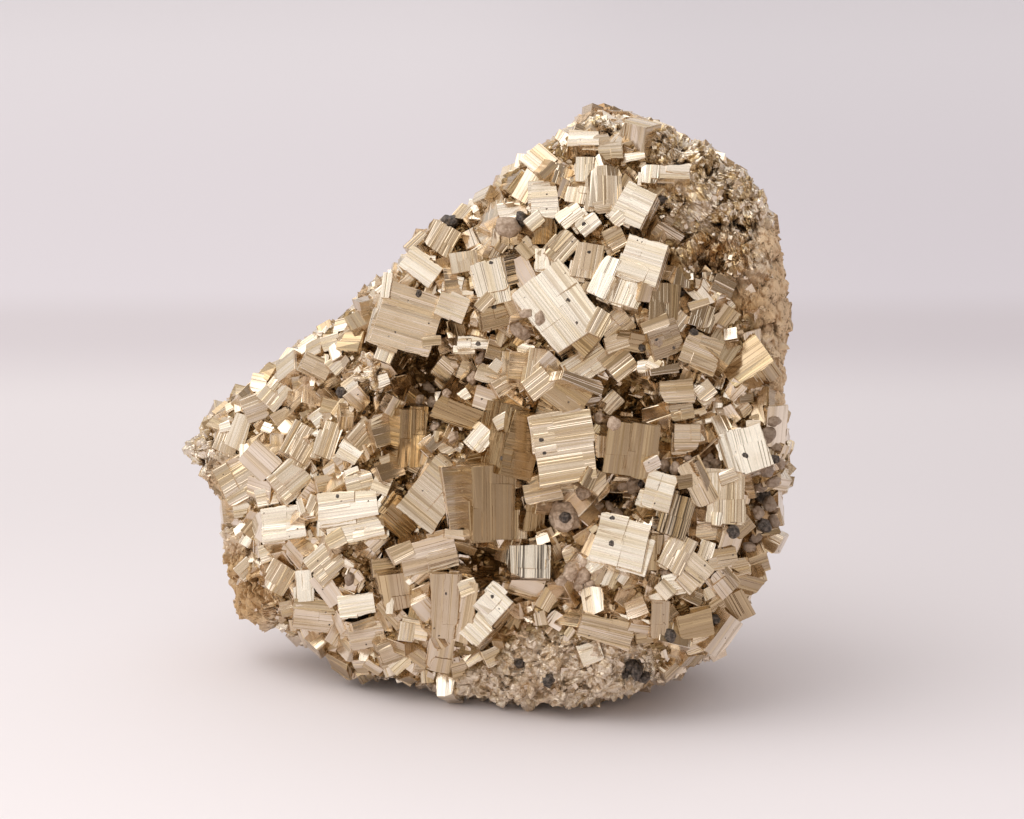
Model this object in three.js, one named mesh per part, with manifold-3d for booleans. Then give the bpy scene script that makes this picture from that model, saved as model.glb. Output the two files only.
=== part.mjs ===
// A hand specimen of pyrite: striated cubes of many sizes grown together on a rough matrix, all one solid.
// The shape is laid out as it is looked at from the front, in a three.js frame of x right, y up and z towards the
// viewer, and then stood on its base: lengths in millimetres, angles in degrees, +Z up once it stands.
import * as THREE from 'three';
import { mergeVertices } from 'three/addons/utils/BufferGeometryUtils.js';
import Module from 'manifold-3d';

const wasm = await Module();
wasm.setup();

const LEAN = 12;            // the front looks up at this angle when the specimen stands
const BASE_DROP = 36.6;     // from the layout's middle straight down to the flat base
const SHIFT_X = -3;         // the standing specimen is moved so that its origin lies under its bulk
const SHIFT_Y = -2.3;
const SIGHT = 388;          // places are given as sighted from this far in front of the middle
const BODY_DETAIL = 11;     // subdivisions of the icosahedron that the matrix is shaped from
const GROUND_SPAN = 200;    // edge of the block that cuts the base flat

// The outline of the matrix seen from the front, from the right-hand side round over the top.
const HUB = [5.2, -4.9];
const OUTLINE = [
  [39.8, -4.9], [38.9, 1.0], [39.0, 7.4], [39.3, 14.8], [38.3, 22.8], [34.9, 30.4], [28.0, 34.5], [20.7, 37.8],
  [12.9, 38.9], [5.2, 34.4], [-0.8, 28.9], [-5.9, 25.5], [-10.3, 21.9], [-13.6, 17.4], [-17.5, 14.1],
  [-22.4, 11.0], [-27.8, 7.1], [-34.4, 2.0], [-40.2, -4.9], [-35.6, -12.1], [-35.1, -19.6], [-33.2, -27.1],
  [-29.9, -28.1], [-24.7, -29.6], [-18.9, -34.8], [-11.7, -35.5], [-5.2, -37.1], [1.3, -38.6], [9.1, -39.1],
  [16.9, -37.8], [22.1, -35.4], [27.3, -32.2], [32.2, -29.6], [34.2, -24.4], [35.8, -19.2], [38.2, -12.7],
];
const RIM_INSET = 0.7;      // the matrix stops this far inside the outline, which the crystals reach
const RIM_FRONT = 8;        // how far forward the right-hand rim stands
const RIM_BEND = 0.0058;    // the rim bends away to the left by this much per square millimetre
const RIM_BEND_FROM = 30;
const FRONT_BULGE = 7;      // the front rises this far off the plane of its rim
const BACK_AT = -27;        // depth of the back
const RIM_POWER = 0.7;      // below 1, these make the section squarer than an ellipse
const DEPTH_POWER = 0.65;
const RIPPLE = 0.7;         // height of each of the waves below
const WAVES = [[0.61, 0, 0.9, 0], [0, 0.53, -0.7, 1], [0.9, -0.8, 0, 0]];   // radians per mm in x, y, z, and phase

// Hollows (negative) and lumps (positive) of the front: x, y, radius, height.
const RELIEF = [
  [-7.5, 4.5, 5.2, -9], [-3.0, 22.5, 3.6, -5], [15.5, -10.0, 2.6, -7], [18.0, 1.5, 3.4, -4.5],
  [27.5, 24.0, 4.0, -3.5], [0.0, -19.5, 2.6, -4], [-19.5, 2.8, 2.0, -3.5], [-14.5, -18.5, 2.6, -3],
  [35.0, -11.0, 2.0, -3], [30.5, -25.5, 2.4, -3], [-1.5, 8.0, 2.6, -3],
  [24.0, -6.0, 6.0, 1.5], [10.0, 22.0, 7.0, 2.0], [-8.0, -24.0, 6.0, 2.5], [-20.0, -12.0, 6.0, 2.0],
  [17.0, -31.0, 7.0, 2.5], [-15.5, 5.0, 2.6, 2.5], [-30.0, -9.0, 5.0, 1.5],
];

// The crystals big enough to shape the solid. Each row: x, y, length along the striations, width across them,
// depth into the matrix, turn to the right, tip upwards, roll of the striations, height proud of the matrix.
const CRYSTALS = [
  // the crown
  [7.1, 27.6, 3.4, 4.8, 5, -8, 16, 3, 2.6], [11.3, 28.3, 2.2, 2.6, 4, -12, 14, 80, 2.2],
  [15.0, 29.4, 5.2, 4.2, 6, 10, 6, 90, 2.8], [12.4, 31.6, 3.2, 2.4, 4, -8, 18, 88, 2.0],
  [9.6, 30.6, 3.0, 2.6, 4, 24, 20, 65, 1.6], [12.2, 35.6, 4.0, 2.4, 5, -4, 34, 0, 1.8],
  [15.8, 34.0, 3.0, 2.4, 4, 4, 24, 4, 1.8], [18.7, 26.9, 4.4, 5.0, 6, -9, 12, -26, 3.6],
  [20.9, 31.0, 2.6, 2.2, 4, -6, 18, 85, 2.0], [24.0, 31.2, 4.0, 2.0, 4, 0, 30, -3, 1.8],
  [10.6, 25.6, 3.4, 2.4, 4, -12, 16, 38, 2.4], [12.9, 24.5, 3.0, 2.2, 4, -8, 12, 38, 2.6],
  [7.4, 23.5, 3.6, 3.2, 5, 4, -28, 90, 1.6], [9.5, 21.4, 4.2, 2.8, 5, 8, 14, 48, 2.4],
  [16.4, 22.6, 2.6, 2.8, 4, 20, -14, 28, 2.2],
  // the upper middle
  [19.9, 19.8, 5.4, 5.4, 7, -9, 13, -18, 4.6], [15.1, 17.7, 5.6, 2.4, 6, -12, 15, 68, 4.4],
  [17.7, 15.5, 3.2, 4.6, 5, -8, 15, 70, 4.6], [12.8, 19.6, 4.4, 3.5, 5, 10, 2, 80, 3.0],
  [9.0, 13.7, 9.8, 7.4, 8, -10, 12, -52, 4.8], [7.2, 19.9, 2.6, 2.2, 4, -6, 10, 90, 2.2],
  [22.8, 14.3, 4.8, 4.0, 6, 16, 4, 88, 3.4], [22.9, 9.6, 4.2, 4.6, 6, 16, -8, 20, 3.4],
  [16.5, 11.2, 4.0, 3.4, 5, 14, 6, 38, 2.8], [18.8, 9.1, 4.6, 2.4, 5, 10, -16, -10, 2.8],
  [16.9, 6.6, 3.6, 4.2, 5, 12, 8, 38, 3.2], [12.9, 6.3, 5.6, 3.4, 5, 4, 14, 34, 3.4],
  [27.6, 8.0, 4.6, 4.2, 5, 14, 4, -22, 3.0], [27.7, 12.6, 3.2, 3.0, 5, 22, 4, 70, 2.4],
  [21.0, 6.0, 3.4, 1.6, 4, -10, 12, 4, 3.2],
  // the upper left
  [0.4, 16.8, 5.8, 4.2, 6, -10, 10, -75, 3.6], [-2.9, 19.6, 2.6, 4.4, 5, 4, 8, 100, 2.0],
  [0.8, 12.3, 3.4, 2.8, 5, 14, -14, 15, 2.6], [3.5, 18.6, 2.8, 3.6, 5, 12, -10, 14, 2.2],
  [-10.6, 12.0, 7.8, 8.0, 8, 10, 2, -17, 3.6], [-4.9, 13.6, 3.8, 3.0, 5, 10, 0, -20, 2.6],
  [-9.0, 18.8, 5.0, 3.0, 5, -12, 16, -35, 2.6], [-6.2, 22.5, 3.8, 3.8, 5, 8, 10, 60, 1.8],
  [-2.1, 9.1, 4.2, 1.8, 5, -10, 14, 0, 3.0], [4.9, 21.2, 2.4, 2.2, 4, -4, 6, -50, 1.8],
  // the vug and its walls
  [-5.6, 5.2, 3.4, 3.0, 5, 12, 4, -40, 1.6], [-0.1, 5.0, 3.0, 2.2, 5, -8, 12, -15, 1.6],
  [-3.8, -0.4, 7.0, 3.4, 6, -14, -22, -25, 2.2], [-10.0, -3.4, 7.4, 3.8, 7, 28, -8, 90, 2.4],
  [2.1, 3.6, 3.2, 2.2, 4, 6, 8, 30, 1.6], [-1.1, -3.4, 3.2, 2.8, 5, -12, 12, 50, 2.6],
  [6.5, 6.0, 4.4, 3.0, 5, 8, 6, 80, 2.0],
  // the centre
  [9.6, 2.5, 6.4, 3.8, 6, 4, 4, -35, 3.2], [9.9, -4.6, 7.4, 8.8, 8, -8, 6, 9, 4.6],
  [4.2, -4.2, 4.6, 8.4, 7, 24, -12, -12, 3.8], [18.6, -4.9, 6.6, 6.6, 7, 8, -14, 84, 4.0],
  [25.8, -3.4, 3.2, 3.6, 5, 6, -4, 0, 3.0], [24.4, 2.7, 4.2, 2.8, 5, 6, 4, 4, 2.6],
  [28.1, 2.7, 2.4, 2.2, 4, 0, 4, 40, 2.2], [25.1, 0.0, 3.0, 2.0, 4, 8, 10, 10, 2.2],
  [0.6, -11.8, 9.4, 5.6, 8, 18, -6, 92, 4.4], [-7.3, -10.8, 5.6, 8.4, 7, -16, 2, -38, 3.6],
  [-4.0, -11.0, 3.2, 8.0, 6, 26, 2, 8, 3.2], [-11.6, -13.8, 4.8, 4.0, 6, 20, -12, -38, 2.0],
  [-7.9, -18.6, 7.2, 4.4, 6, 8, -10, 14, 3.0], [7.0, -10.4, 5.0, 2.6, 5, 4, 14, 12, 2.0],
  [6.0, -13.5, 3.8, 2.8, 5, 16, -22, 88, 1.6], [5.2, -19.4, 4.0, 5.4, 6, -4, 2, 90, 3.0],
  // the right
  [33.1, -4.9, 5.6, 5.8, 6, -9, 12, -74, 3.4], [30.8, -11.1, 6.4, 4.8, 6, 2, 8, 88, 3.2],
  [22.0, -10.2, 3.8, 4.6, 6, -10, 13, -17, 3.4], [24.3, -13.4, 5.4, 4.0, 6, 12, -4, 74, 3.2],
  [27.2, -9.2, 6.0, 3.2, 5, 16, 2, -63, 2.8], [24.5, -18.2, 4.8, 3.4, 5, 10, 2, 62, 2.8],
  [17.2, -16.9, 6.6, 6.2, 7, -9, 12, -14, 4.2], [21.8, -18.2, 4.6, 2.2, 5, 24, -6, 90, 2.6],
  [26.9, -20.5, 3.6, 3.2, 5, 4, 8, -40, 2.4], [30.3, -18.9, 3.8, 2.4, 4, 10, 4, 8, 2.2],
  [30.6, -22.0, 3.4, 3.2, 4, 14, -6, -50, 1.8], [24.2, -22.0, 3.2, 2.2, 4, -8, 10, 10, 2.0],
  [26.8, -27.6, 4.4, 3.2, 5, 8, -8, 12, 1.8], [27.4, -30.0, 4.0, 2.2, 4, 4, -16, 20, 1.2],
  [32.6, -20.2, 2.8, 2.2, 4, 20, 0, 5, 1.4],
  // the foot
  [15.2, -28.4, 6.6, 3.2, 5, 4, -4, -14, 1.4], [22.2, -27.0, 4.6, 2.4, 5, 10, -6, 88, 1.6],
  [0.4, -25.0, 3.6, 3.8, 5, -10, 12, -42, 2.8], [-1.5, -28.2, 3.2, 3.4, 5, -10, 10, -42, 2.6],
  [-5.8, -25.2, 8.2, 3.4, 6, 6, -8, 87, 2.6], [-3.2, -26.0, 8.0, 2.4, 6, -22, -6, 76, 2.2],
  [-11.6, -23.3, 4.8, 4.4, 6, 12, -12, 100, 2.2], [-9.6, -28.2, 3.4, 2.4, 5, -8, 8, -10, 1.8],
  [-6.5, -31.5, 4.6, 3.4, 5, 4, -18, 80, 1.4], [-12.6, -31.0, 3.6, 3.2, 5, -6, -20, 20, 1.4],
  // the left
  [-18.4, -12.2, 7.8, 3.8, 6, -9, 12, 7, 3.6], [-17.5, -15.1, 7.6, 3.2, 6, -9, 12, 12, 3.8],
  [-18.2, -5.3, 3.2, 2.4, 5, -10, 14, -30, 2.6], [-16.4, -3.0, 3.8, 3.2, 5, 10, 4, 48, 2.0],
  [-20.9, -3.6, 4.8, 2.4, 5, 12, 2, 72, 2.0], [-17.0, -8.9, 3.6, 2.8, 5, 6, 4, 15, 2.2],
  [-14.0, -9.4, 2.4, 2.2, 4, -10, 14, -20, 2.4], [-26.0, -8.6, 4.6, 4.0, 5, 4, 8, 40, 1.8],
  [-24.6, -4.0, 4.6, 4.0, 5, 10, 8, 60, 1.6], [-26.8, -14.4, 5.8, 4.4, 6, -10, 12, 8, 2.8],
  [-21.4, -19.4, 4.2, 4.0, 5, 2, 6, 40, 2.4], [-24.2, -22.6, 4.2, 2.4, 5, -8, 10, 95, 2.0],
  [-27.4, -21.6, 3.8, 3.2, 5, 6, 2, 60, 1.6], [-17.2, -25.1, 4.8, 2.8, 5, -9, 12, 10, 2.6],
  [-22.6, -26.8, 5.6, 3.4, 5, 6, -12, -6, 1.6], [-16.0, -29.0, 4.4, 3.6, 5, 4, -16, 10, 1.6],
  [-32.8, -8.8, 5.4, 5.6, 5, -14, 2, 30, 1.2], [-22.6, 6.0, 3.8, 2.6, 4, -6, 14, -25, 1.6],
  [-28.0, 2.4, 3.6, 3.2, 4, -12, 14, 50, 1.4], [-34.2, -3.6, 3.6, 3.2, 4, -18, 10, 70, 1.2],
];

const radians = THREE.MathUtils.degToRad;

// Distance from the hub to the outline in the direction `turn`, straight between the outline's points.
function outlineReach(turn) {
  const ray = new THREE.Vector2(Math.cos(turn), Math.sin(turn));
  const points = OUTLINE.map(([x, y]) => new THREE.Vector2(x - HUB[0], y - HUB[1]));
  for (let i = 0; i < points.length; i += 1) {
    const a = points[i];
    const side = points[(i + 1) % points.length].clone().sub(a);
    const across = ray.cross(side);
    const reach = a.cross(side) / across;
    const along = a.cross(ray) / across;
    if (reach > 0 && along >= 0 && along <= 1) {
      return reach;
    }
  }
  return 0;
}

function relief(x, y) {
  return RELIEF.reduce((sum, [cx, cy, radius, height]) => {
    const away = ((x - cx) ** 2 + (y - cy) ** 2) / radius ** 2;
    return sum + height * Math.exp(-away);
  }, 0);
}

function rimDepth(x) {
  return RIM_FRONT - RIM_BEND * Math.max(RIM_BEND_FROM - x, 0) ** 2;
}

function ripple(x, y, z) {
  return WAVES.reduce((sum, [kx, ky, kz, phase]) => sum + RIPPLE * Math.sin(kx * x + ky * y + kz * z + phase), 0);
}

// Moves a point in from where it is sighted to where it is, nearer things being sighted larger.
function unsight(x, y, z) {
  const near = 1 - z / SIGHT;
  return new THREE.Vector3(x * near, y * near, z);
}

// A direction on the unit sphere becomes a point on the skin of the matrix.
function skinPoint(direction) {
  const turn = Math.atan2(direction.y, direction.x);
  const spread = Math.hypot(direction.x, direction.y) ** RIM_POWER;
  const reach = spread * (outlineReach(turn) - RIM_INSET);
  const x = HUB[0] + reach * Math.cos(turn);
  const y = HUB[1] + reach * Math.sin(turn);
  const rim = rimDepth(x);
  const rise = Math.abs(direction.z) ** DEPTH_POWER;
  const span = direction.z > 0 ? FRONT_BULGE + relief(x, y) : BACK_AT - rim;
  const z = rim + rise * span;
  const wave = ripple(x, y, z);
  return unsight(x, y, z + wave * direction.z);
}

// How far forward the matrix stands at a place on its front.
function frontDepth(x, y) {
  const turn = Math.atan2(y - HUB[1], x - HUB[0]);
  const share = Math.hypot(x - HUB[0], y - HUB[1]) / (outlineReach(turn) - RIM_INSET);
  const level = Math.sqrt(1 - Math.min(share, 1) ** (2 / RIM_POWER));
  return rimDepth(x) + level ** DEPTH_POWER * (FRONT_BULGE + relief(x, y));
}

function solid(geometry) {
  geometry.deleteAttribute('normal');
  geometry.deleteAttribute('uv');
  const merged = mergeVertices(geometry);
  const vertProperties = merged.attributes.position.array;
  const triVerts = new Uint32Array(merged.index.array);
  return new wasm.Manifold(new wasm.Mesh({ numProp: 3, vertProperties, triVerts }));
}

function stand(geometry) {
  geometry.rotateX(radians(90 - LEAN));
  geometry.translate(SHIFT_X, SHIFT_Y, BASE_DROP);
  return geometry;
}

function matrix() {
  const geometry = new THREE.IcosahedronGeometry(1, BODY_DETAIL);
  const position = geometry.attributes.position;
  for (let i = 0; i < position.count; i += 1) {
    const point = skinPoint(new THREE.Vector3().fromBufferAttribute(position, i).normalize());
    position.setXYZ(i, point.x, point.y, point.z);
  }
  return solid(stand(geometry));
}

function crystal([x, y, length, width, depth, yaw, pitch, roll, proud]) {
  const geometry = new THREE.BoxGeometry(length, width, depth);
  geometry.translate(0, 0, -depth / 2);
  const turn = new THREE.Euler(radians(-pitch), radians(yaw), radians(roll), 'YXZ');
  geometry.applyMatrix4(new THREE.Matrix4().makeRotationFromEuler(turn));
  const place = unsight(x, y, frontDepth(x, y) + proud);
  geometry.translate(place.x, place.y, place.z);
  return solid(stand(geometry));
}

function ground() {
  const geometry = new THREE.BoxGeometry(GROUND_SPAN, GROUND_SPAN, GROUND_SPAN);
  geometry.translate(0, 0, -GROUND_SPAN / 2);
  return solid(geometry);
}

function toMesh(body, name, material) {
  const { vertProperties, triVerts } = body.getMesh();
  const geometry = new THREE.BufferGeometry();
  geometry.setAttribute('position', new THREE.BufferAttribute(vertProperties, 3));
  geometry.setIndex(new THREE.BufferAttribute(triVerts, 1));
  geometry.computeVertexNormals();
  const mesh = new THREE.Mesh(geometry, material);
  mesh.name = name;
  return mesh;
}

// The outer skin alone, so that pockets shut in between crystals and matrix are filled.
function outerSkin(body) {
  const skins = body.decompose();
  return skins.reduce((best, skin) => (skin.volume() > best.volume() ? skin : best));
}

const pyrite = new THREE.MeshStandardMaterial({ color: 0xb49b72, roughness: 0.35, metalness: 0.9 });
const grown = CRYSTALS.reduce((body, row) => body.add(crystal(row)), matrix());
const cluster = outerSkin(grown.subtract(ground()));

const group = new THREE.Group();
group.add(toMesh(cluster, 'pyrite_cluster', pyrite));

export default group;
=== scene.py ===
# %% [markdown]
# # A pyrite specimen
# Pyrite grows as brassy cubes whose faces carry fine ruled lines. This specimen is a crowd of such cubes,
# from grains that only sparkle to crystals a centimetre across, all grown together on a rough matrix. One
# solid has already been packed with its size, its flat base and its largest crystals. This notebook
# dresses it: a rough skin for the matrix, cubes with real ruled faces, a crust of grains, and the small
# round grains of other minerals that sit on the faces. Every piece is laid out in the same way as the
# solid, so nothing is fitted by eye.

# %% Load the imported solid
import math

import bmesh
import bpy
import numpy as np
from mathutils import Matrix, Vector, noise
from mathutils.bvhtree import BVHTree


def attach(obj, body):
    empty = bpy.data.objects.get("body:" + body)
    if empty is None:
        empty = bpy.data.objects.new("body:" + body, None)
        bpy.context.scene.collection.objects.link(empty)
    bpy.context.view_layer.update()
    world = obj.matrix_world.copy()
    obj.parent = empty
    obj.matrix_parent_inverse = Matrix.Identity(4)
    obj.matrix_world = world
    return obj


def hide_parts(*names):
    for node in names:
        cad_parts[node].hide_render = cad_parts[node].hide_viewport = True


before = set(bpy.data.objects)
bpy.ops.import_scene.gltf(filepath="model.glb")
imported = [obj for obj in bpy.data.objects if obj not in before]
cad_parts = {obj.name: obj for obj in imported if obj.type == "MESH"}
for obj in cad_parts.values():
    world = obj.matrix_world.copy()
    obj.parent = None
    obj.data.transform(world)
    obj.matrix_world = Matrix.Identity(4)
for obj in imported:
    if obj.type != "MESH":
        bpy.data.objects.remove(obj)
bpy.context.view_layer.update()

# %% [markdown]
# ## The layout
# A cluster is easiest to describe as it is looked at from the front, so every place below is given in
# millimetres in a layout with x to the right, y up and z towards the viewer. One turn and one shift then
# stand it on its base, in metres. They are the same ones that the solid was stood up with.

# %% From the layout to the standing specimen
MM = 0.001
# How far the layout leans back, in degrees, its shift onto the base, and how far off it is looked at from.
LEAN = 12
SHIFT = np.array([-3, -2.3, 36.6])
SIGHT = 388
STAND = np.array(Matrix.Rotation(math.radians(90 - LEAN), 3, "X"))


def standing(points):
    """Layout points in millimetres, as standing points in metres."""
    return (np.asarray(points) @ STAND.T + SHIFT) * MM


def laid_out(points):
    """Standing points in metres, as layout points in millimetres."""
    return (np.asarray(points) / MM - SHIFT) @ STAND


def unsight(x, y, z):
    """Nearer things are sighted larger, so a place moves in from where it is sighted to where it is."""
    near = 1 - z / SIGHT
    return np.stack([x * near, y * near, z + 0 * x], -1)


print("the layout's middle stands at, m:", standing((0, 0, 0)).round(4))

# %% [markdown]
# ## The shape of the matrix
# The matrix is the lump of massive pyrite that the crystals sit on. Its outline from the front is a list
# of points round a hub. A ball of directions is stretched out to that outline, bulged to the front and to
# the back, and hollows and lumps are added to its front as soft bumps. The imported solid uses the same
# recipe, so the two fit.

# %% The outline and the depth of the matrix
HUB = np.array([5.2, -4.9])
OUTLINE = np.array([
    (39.8, -4.9), (38.9, 1.0), (39.0, 7.4), (39.3, 14.8), (38.3, 22.8), (34.9, 30.4), (28.0, 34.5),
    (20.7, 37.8), (12.9, 38.9), (5.2, 34.4), (-0.8, 28.9), (-5.9, 25.5), (-10.3, 21.9), (-13.6, 17.4),
    (-17.5, 14.1), (-22.4, 11.0), (-27.8, 7.1), (-34.4, 2.0), (-40.2, -4.9), (-35.6, -12.1),
    (-35.1, -19.6), (-33.2, -27.1), (-29.9, -28.1), (-24.7, -29.6), (-18.9, -34.8), (-11.7, -35.5),
    (-5.2, -37.1), (1.3, -38.6), (9.1, -39.1), (16.9, -37.8), (22.1, -35.4), (27.3, -32.2), (32.2, -29.6),
    (34.2, -24.4), (35.8, -19.2), (38.2, -12.7),
])
RIM_INSET = 0.7
RIM_FRONT = 8
RIM_BEND = 0.0058
RIM_BEND_FROM = 30
FRONT_BULGE = 7
BACK_AT = -27
RIM_POWER = 0.7
DEPTH_POWER = 0.65
RIPPLE = 0.7
# Each row: how fast a ripple runs along x, y and z, and where it starts.
WAVES = [(0.61, 0, 0.9, 0), (0, 0.53, -0.7, 1), (0.9, -0.8, 0, 0)]
ROUNDING = 1e-6


def flat_cross(a, b):
    return a[..., 0] * b[..., 1] - a[..., 1] * b[..., 0]


def outline_reach(turn):
    """Distance from the hub to the outline in each direction."""
    ray = np.stack([np.cos(turn), np.sin(turn)], -1)[..., None, :]
    start = OUTLINE - HUB
    side = np.roll(start, -1, 0) - start
    across = flat_cross(ray, side)
    reach = flat_cross(start, side) / across
    along = flat_cross(start, ray) / across
    crossed = (reach > 0) & (along > -ROUNDING) & (along < 1 + ROUNDING)
    return np.where(crossed, reach, 0).max(-1)


print("outline points:", len(OUTLINE))


# %% Hollows and lumps of its front
# Each row: x, y, radius, height, with a hollow's height below zero.
RELIEF = [
    (-7.5, 4.5, 5.2, -9), (-3.0, 22.5, 3.6, -5), (15.5, -10.0, 2.6, -7), (18.0, 1.5, 3.4, -4.5),
    (27.5, 24.0, 4.0, -3.5), (0.0, -19.5, 2.6, -4), (-19.5, 2.8, 2.0, -3.5), (-14.5, -18.5, 2.6, -3),
    (35.0, -11.0, 2.0, -3), (30.5, -25.5, 2.4, -3), (-1.5, 8.0, 2.6, -3), (24.0, -6.0, 6.0, 1.5),
    (10.0, 22.0, 7.0, 2.0), (-8.0, -24.0, 6.0, 2.5), (-20.0, -12.0, 6.0, 2.0), (17.0, -31.0, 7.0, 2.5),
    (-15.5, 5.0, 2.6, 2.5), (-30.0, -9.0, 5.0, 1.5),
]


def bumps(rows, x, y):
    """The sum of soft bumps at x, y."""
    rise = 0 * x
    for cx, cy, radius, height in rows:
        rise = rise + height * np.exp(-((x - cx) ** 2 + (y - cy) ** 2) / radius ** 2)
    return rise


def relief(x, y):
    return bumps(RELIEF, x, y)


def rim_depth(x):
    return RIM_FRONT - RIM_BEND * np.maximum(RIM_BEND_FROM - x, 0) ** 2


def skin(direction):
    """Directions on the unit ball, as layout points on the skin of the matrix."""
    turn = np.arctan2(direction[:, 1], direction[:, 0])
    reach = np.hypot(direction[:, 0], direction[:, 1]) ** RIM_POWER * (outline_reach(turn) - RIM_INSET)
    x = HUB[0] + reach * np.cos(turn)
    y = HUB[1] + reach * np.sin(turn)
    rim = rim_depth(x)
    span = np.where(direction[:, 2] > 0, FRONT_BULGE + relief(x, y), BACK_AT - rim)
    z = rim + np.abs(direction[:, 2]) ** DEPTH_POWER * span
    wave = sum(RIPPLE * np.sin(kx * x + ky * y + kz * z + phase) for kx, ky, kz, phase in WAVES)
    return unsight(x, y, z + wave * direction[:, 2])


def front_depth(x, y):
    """How far forward the matrix stands at a place on its front."""
    reach = outline_reach(np.arctan2(y - HUB[1], x - HUB[0])) - RIM_INSET
    share = np.hypot(x - HUB[0], y - HUB[1]) / reach
    level = np.sqrt(1 - np.minimum(share, 1) ** (2 / RIM_POWER))
    return rim_depth(x) + level ** DEPTH_POWER * (FRONT_BULGE + relief(x, y))


print("front of the matrix at the hub, mm:", round(float(front_depth(*HUB)), 2))


# %% [markdown]
# ## The camera
# The specimen is about eight centimetres long and is looked at from 39 cm away through a long lens,
# tipped 12 degrees down. Its axes are the layout's own, so the camera takes the same turn.

# %% Camera
AIM = (2.86, 0.33)
eye = bpy.data.cameras.new("eye")
eye.lens = 105
eye.sensor_width = 36
eye.dof.use_dof = False
camera = bpy.data.objects.new("camera", eye)
camera.matrix_world = Matrix.Translation(standing((*AIM, SIGHT))) @ Matrix(STAND.tolist()).to_4x4()
bpy.context.scene.collection.objects.link(camera)
bpy.context.scene.camera = camera
bpy.context.scene.view_settings.view_transform = "Standard"
bpy.context.scene.view_settings.look = "None"
print("camera at", [round(v, 4) for v in camera.location])

# %% [markdown]
# ## Wiring shaders
# A shader's sums read best as sums. This small class wraps a node's output, so that `1 - mask` adds the
# Math node that it stands for, and `Graph.add` makes any other node: its settings first, then what its
# sockets take.


# %% A wire
class Wire:
    """One output of a node, which can be summed and scaled like a number."""

    def __init__(self, graph, socket):
        self.graph = graph
        self.socket = socket

    def math(self, operation, *values, clamp=False):
        settings = {"operation": operation, "use_clamp": clamp}
        return self.graph.add("Math", settings, dict(enumerate(values)))

    def __add__(self, other):
        return self.math("ADD", self, other)

    def __sub__(self, other):
        return self.math("SUBTRACT", self, other)

    def __rsub__(self, other):
        return self.math("SUBTRACT", other, self)

    def __mul__(self, other):
        return self.math("MULTIPLY", self, other)

    __radd__ = __add__

    def limited(self):
        return self.math("ADD", self, 0, clamp=True)

    def between(self, low, high):
        """0 below `low`, 1 above `high`, and a smooth rise from one to the other."""
        values = {"Value": self, "From Min": low, "From Max": high}
        return self.graph.add("MapRange", {"interpolation_type": "SMOOTHSTEP"}, values)


# %% A graph
class Graph:
    """The node tree of a material or of the world, being built."""

    def __init__(self, owner):
        owner.use_nodes = True
        self.tree = owner.node_tree
        self.tree.nodes.clear()

    def add(self, kind, settings, values, output=0):
        node = self.tree.nodes.new("ShaderNode" + kind)
        for name, value in settings.items():
            setattr(node, name, value)
        for name, value in values.items():
            if isinstance(value, Wire):
                self.tree.links.new(value.socket, node.inputs[name])
            else:
                node.inputs[name].default_value = value
        return Wire(self, node.outputs[output]) if node.outputs else node

    def blend(self, factor, a, b):
        """The colour `a` where the factor is 0, and `b` where it is 1."""
        return self.add("Mix", {"data_type": "RGBA"}, {0: factor, 6: a, 7: b}, 2)

    def attribute(self, name, output="Vector"):
        return self.add("Attribute", {"attribute_name": name}, {}, output)

    def scaled(self, vector, factors):
        return self.add("VectorMath", {"operation": "MULTIPLY"}, {0: vector, 1: factors})

    def noise(self, vector, detail=3, roughness=0.5, scale=1.0):
        values = {"Vector": vector, "Scale": scale, "Detail": detail, "Roughness": roughness}
        return self.add("TexNoise", {}, values)

    def place(self):
        """Where a point is on the standing specimen, in millimetres."""
        return self.scaled(self.add("TexCoord", {}, {}, "Object"), (1000, 1000, 1000))

    def facets(self, place, fineness):
        """Flat facets, each leaning its own way: their height, and how far each one's middle is."""
        spot = self.scaled(place, (fineness, fineness, fineness))
        cells = {"Vector": spot, "Scale": 1.0}
        kind = self.add("TexVoronoi", {"feature": "F1"}, cells, "Color")
        middle = self.add("TexVoronoi", {"feature": "F1"}, cells, "Position")
        lean = self.add("VectorMath", {"operation": "SUBTRACT"}, {0: kind, 1: (0.5, 0.5, 0.5)})
        aside = self.add("VectorMath", {"operation": "SUBTRACT"}, {0: spot, 1: middle})
        height = self.add("VectorMath", {"operation": "DOT_PRODUCT"}, {0: lean, 1: aside}, "Value")
        return height, self.add("TexVoronoi", {"feature": "F1"}, cells, "Distance")

    def bump(self, height, millimetres, strength=1.0):
        values = {"Height": height, "Distance": millimetres * MM, "Strength": strength}
        return self.add("Bump", {}, values)

    def surface(self, values):
        shader = self.add("BsdfPrincipled", {}, values)
        self.add("OutputMaterial", {}, {"Surface": shader})


# %% [markdown]
# ## The table and the light
# The specimen stands on a pale sheet that runs away behind it. Its tone is painted to change from front to
# back, and to be a little darker to the right of the specimen: painted light, standing in for the way the
# lamp's light falls off over the sheet. Metal shows whatever is round it, so the room matters as much as the
# lamp: a bright window in front, above and to the left lights the faces that lean that way, the room in
# front is warm and pale, and its dim right side is what turns the other faces brown. A world's colour can
# be blended from a few soft panels, with no image to load.

# %% The sheet
# Its tone far in front, then each further tone: where it starts and is whole, in metres going back, and its
# colour. These tones are painted light: they stand in for the lamp's light falling off over the sheet. To
# the right of the specimen the sheet is painted a little darker, as painted shade where the light from the
# left falls off.
SHEET_FAR_IN_FRONT = (0.68, 0.64, 0.645, 1)
SHEET_PAINTED_LIGHT_TONES = [
    (-0.22, -0.09, (0.855, 0.81, 0.815, 1)),
    (-0.08, 0.12, (0.71, 0.67, 0.68, 1)),
    (0.17, 0.25, (0.615, 0.57, 0.59, 1)),
    (0.262, 0.31, (0.67, 0.63, 0.66, 1)),
    (0.35, 1.0, (0.74, 0.705, 0.73, 1)),
]
SHEET_PAINTED_FALLOFF = (0.91, 0.91, 0.92, 1)
FALLOFF_FROM, FALLOFF_BY = -0.05, 0.10
SHEET_REACH = 6


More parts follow.
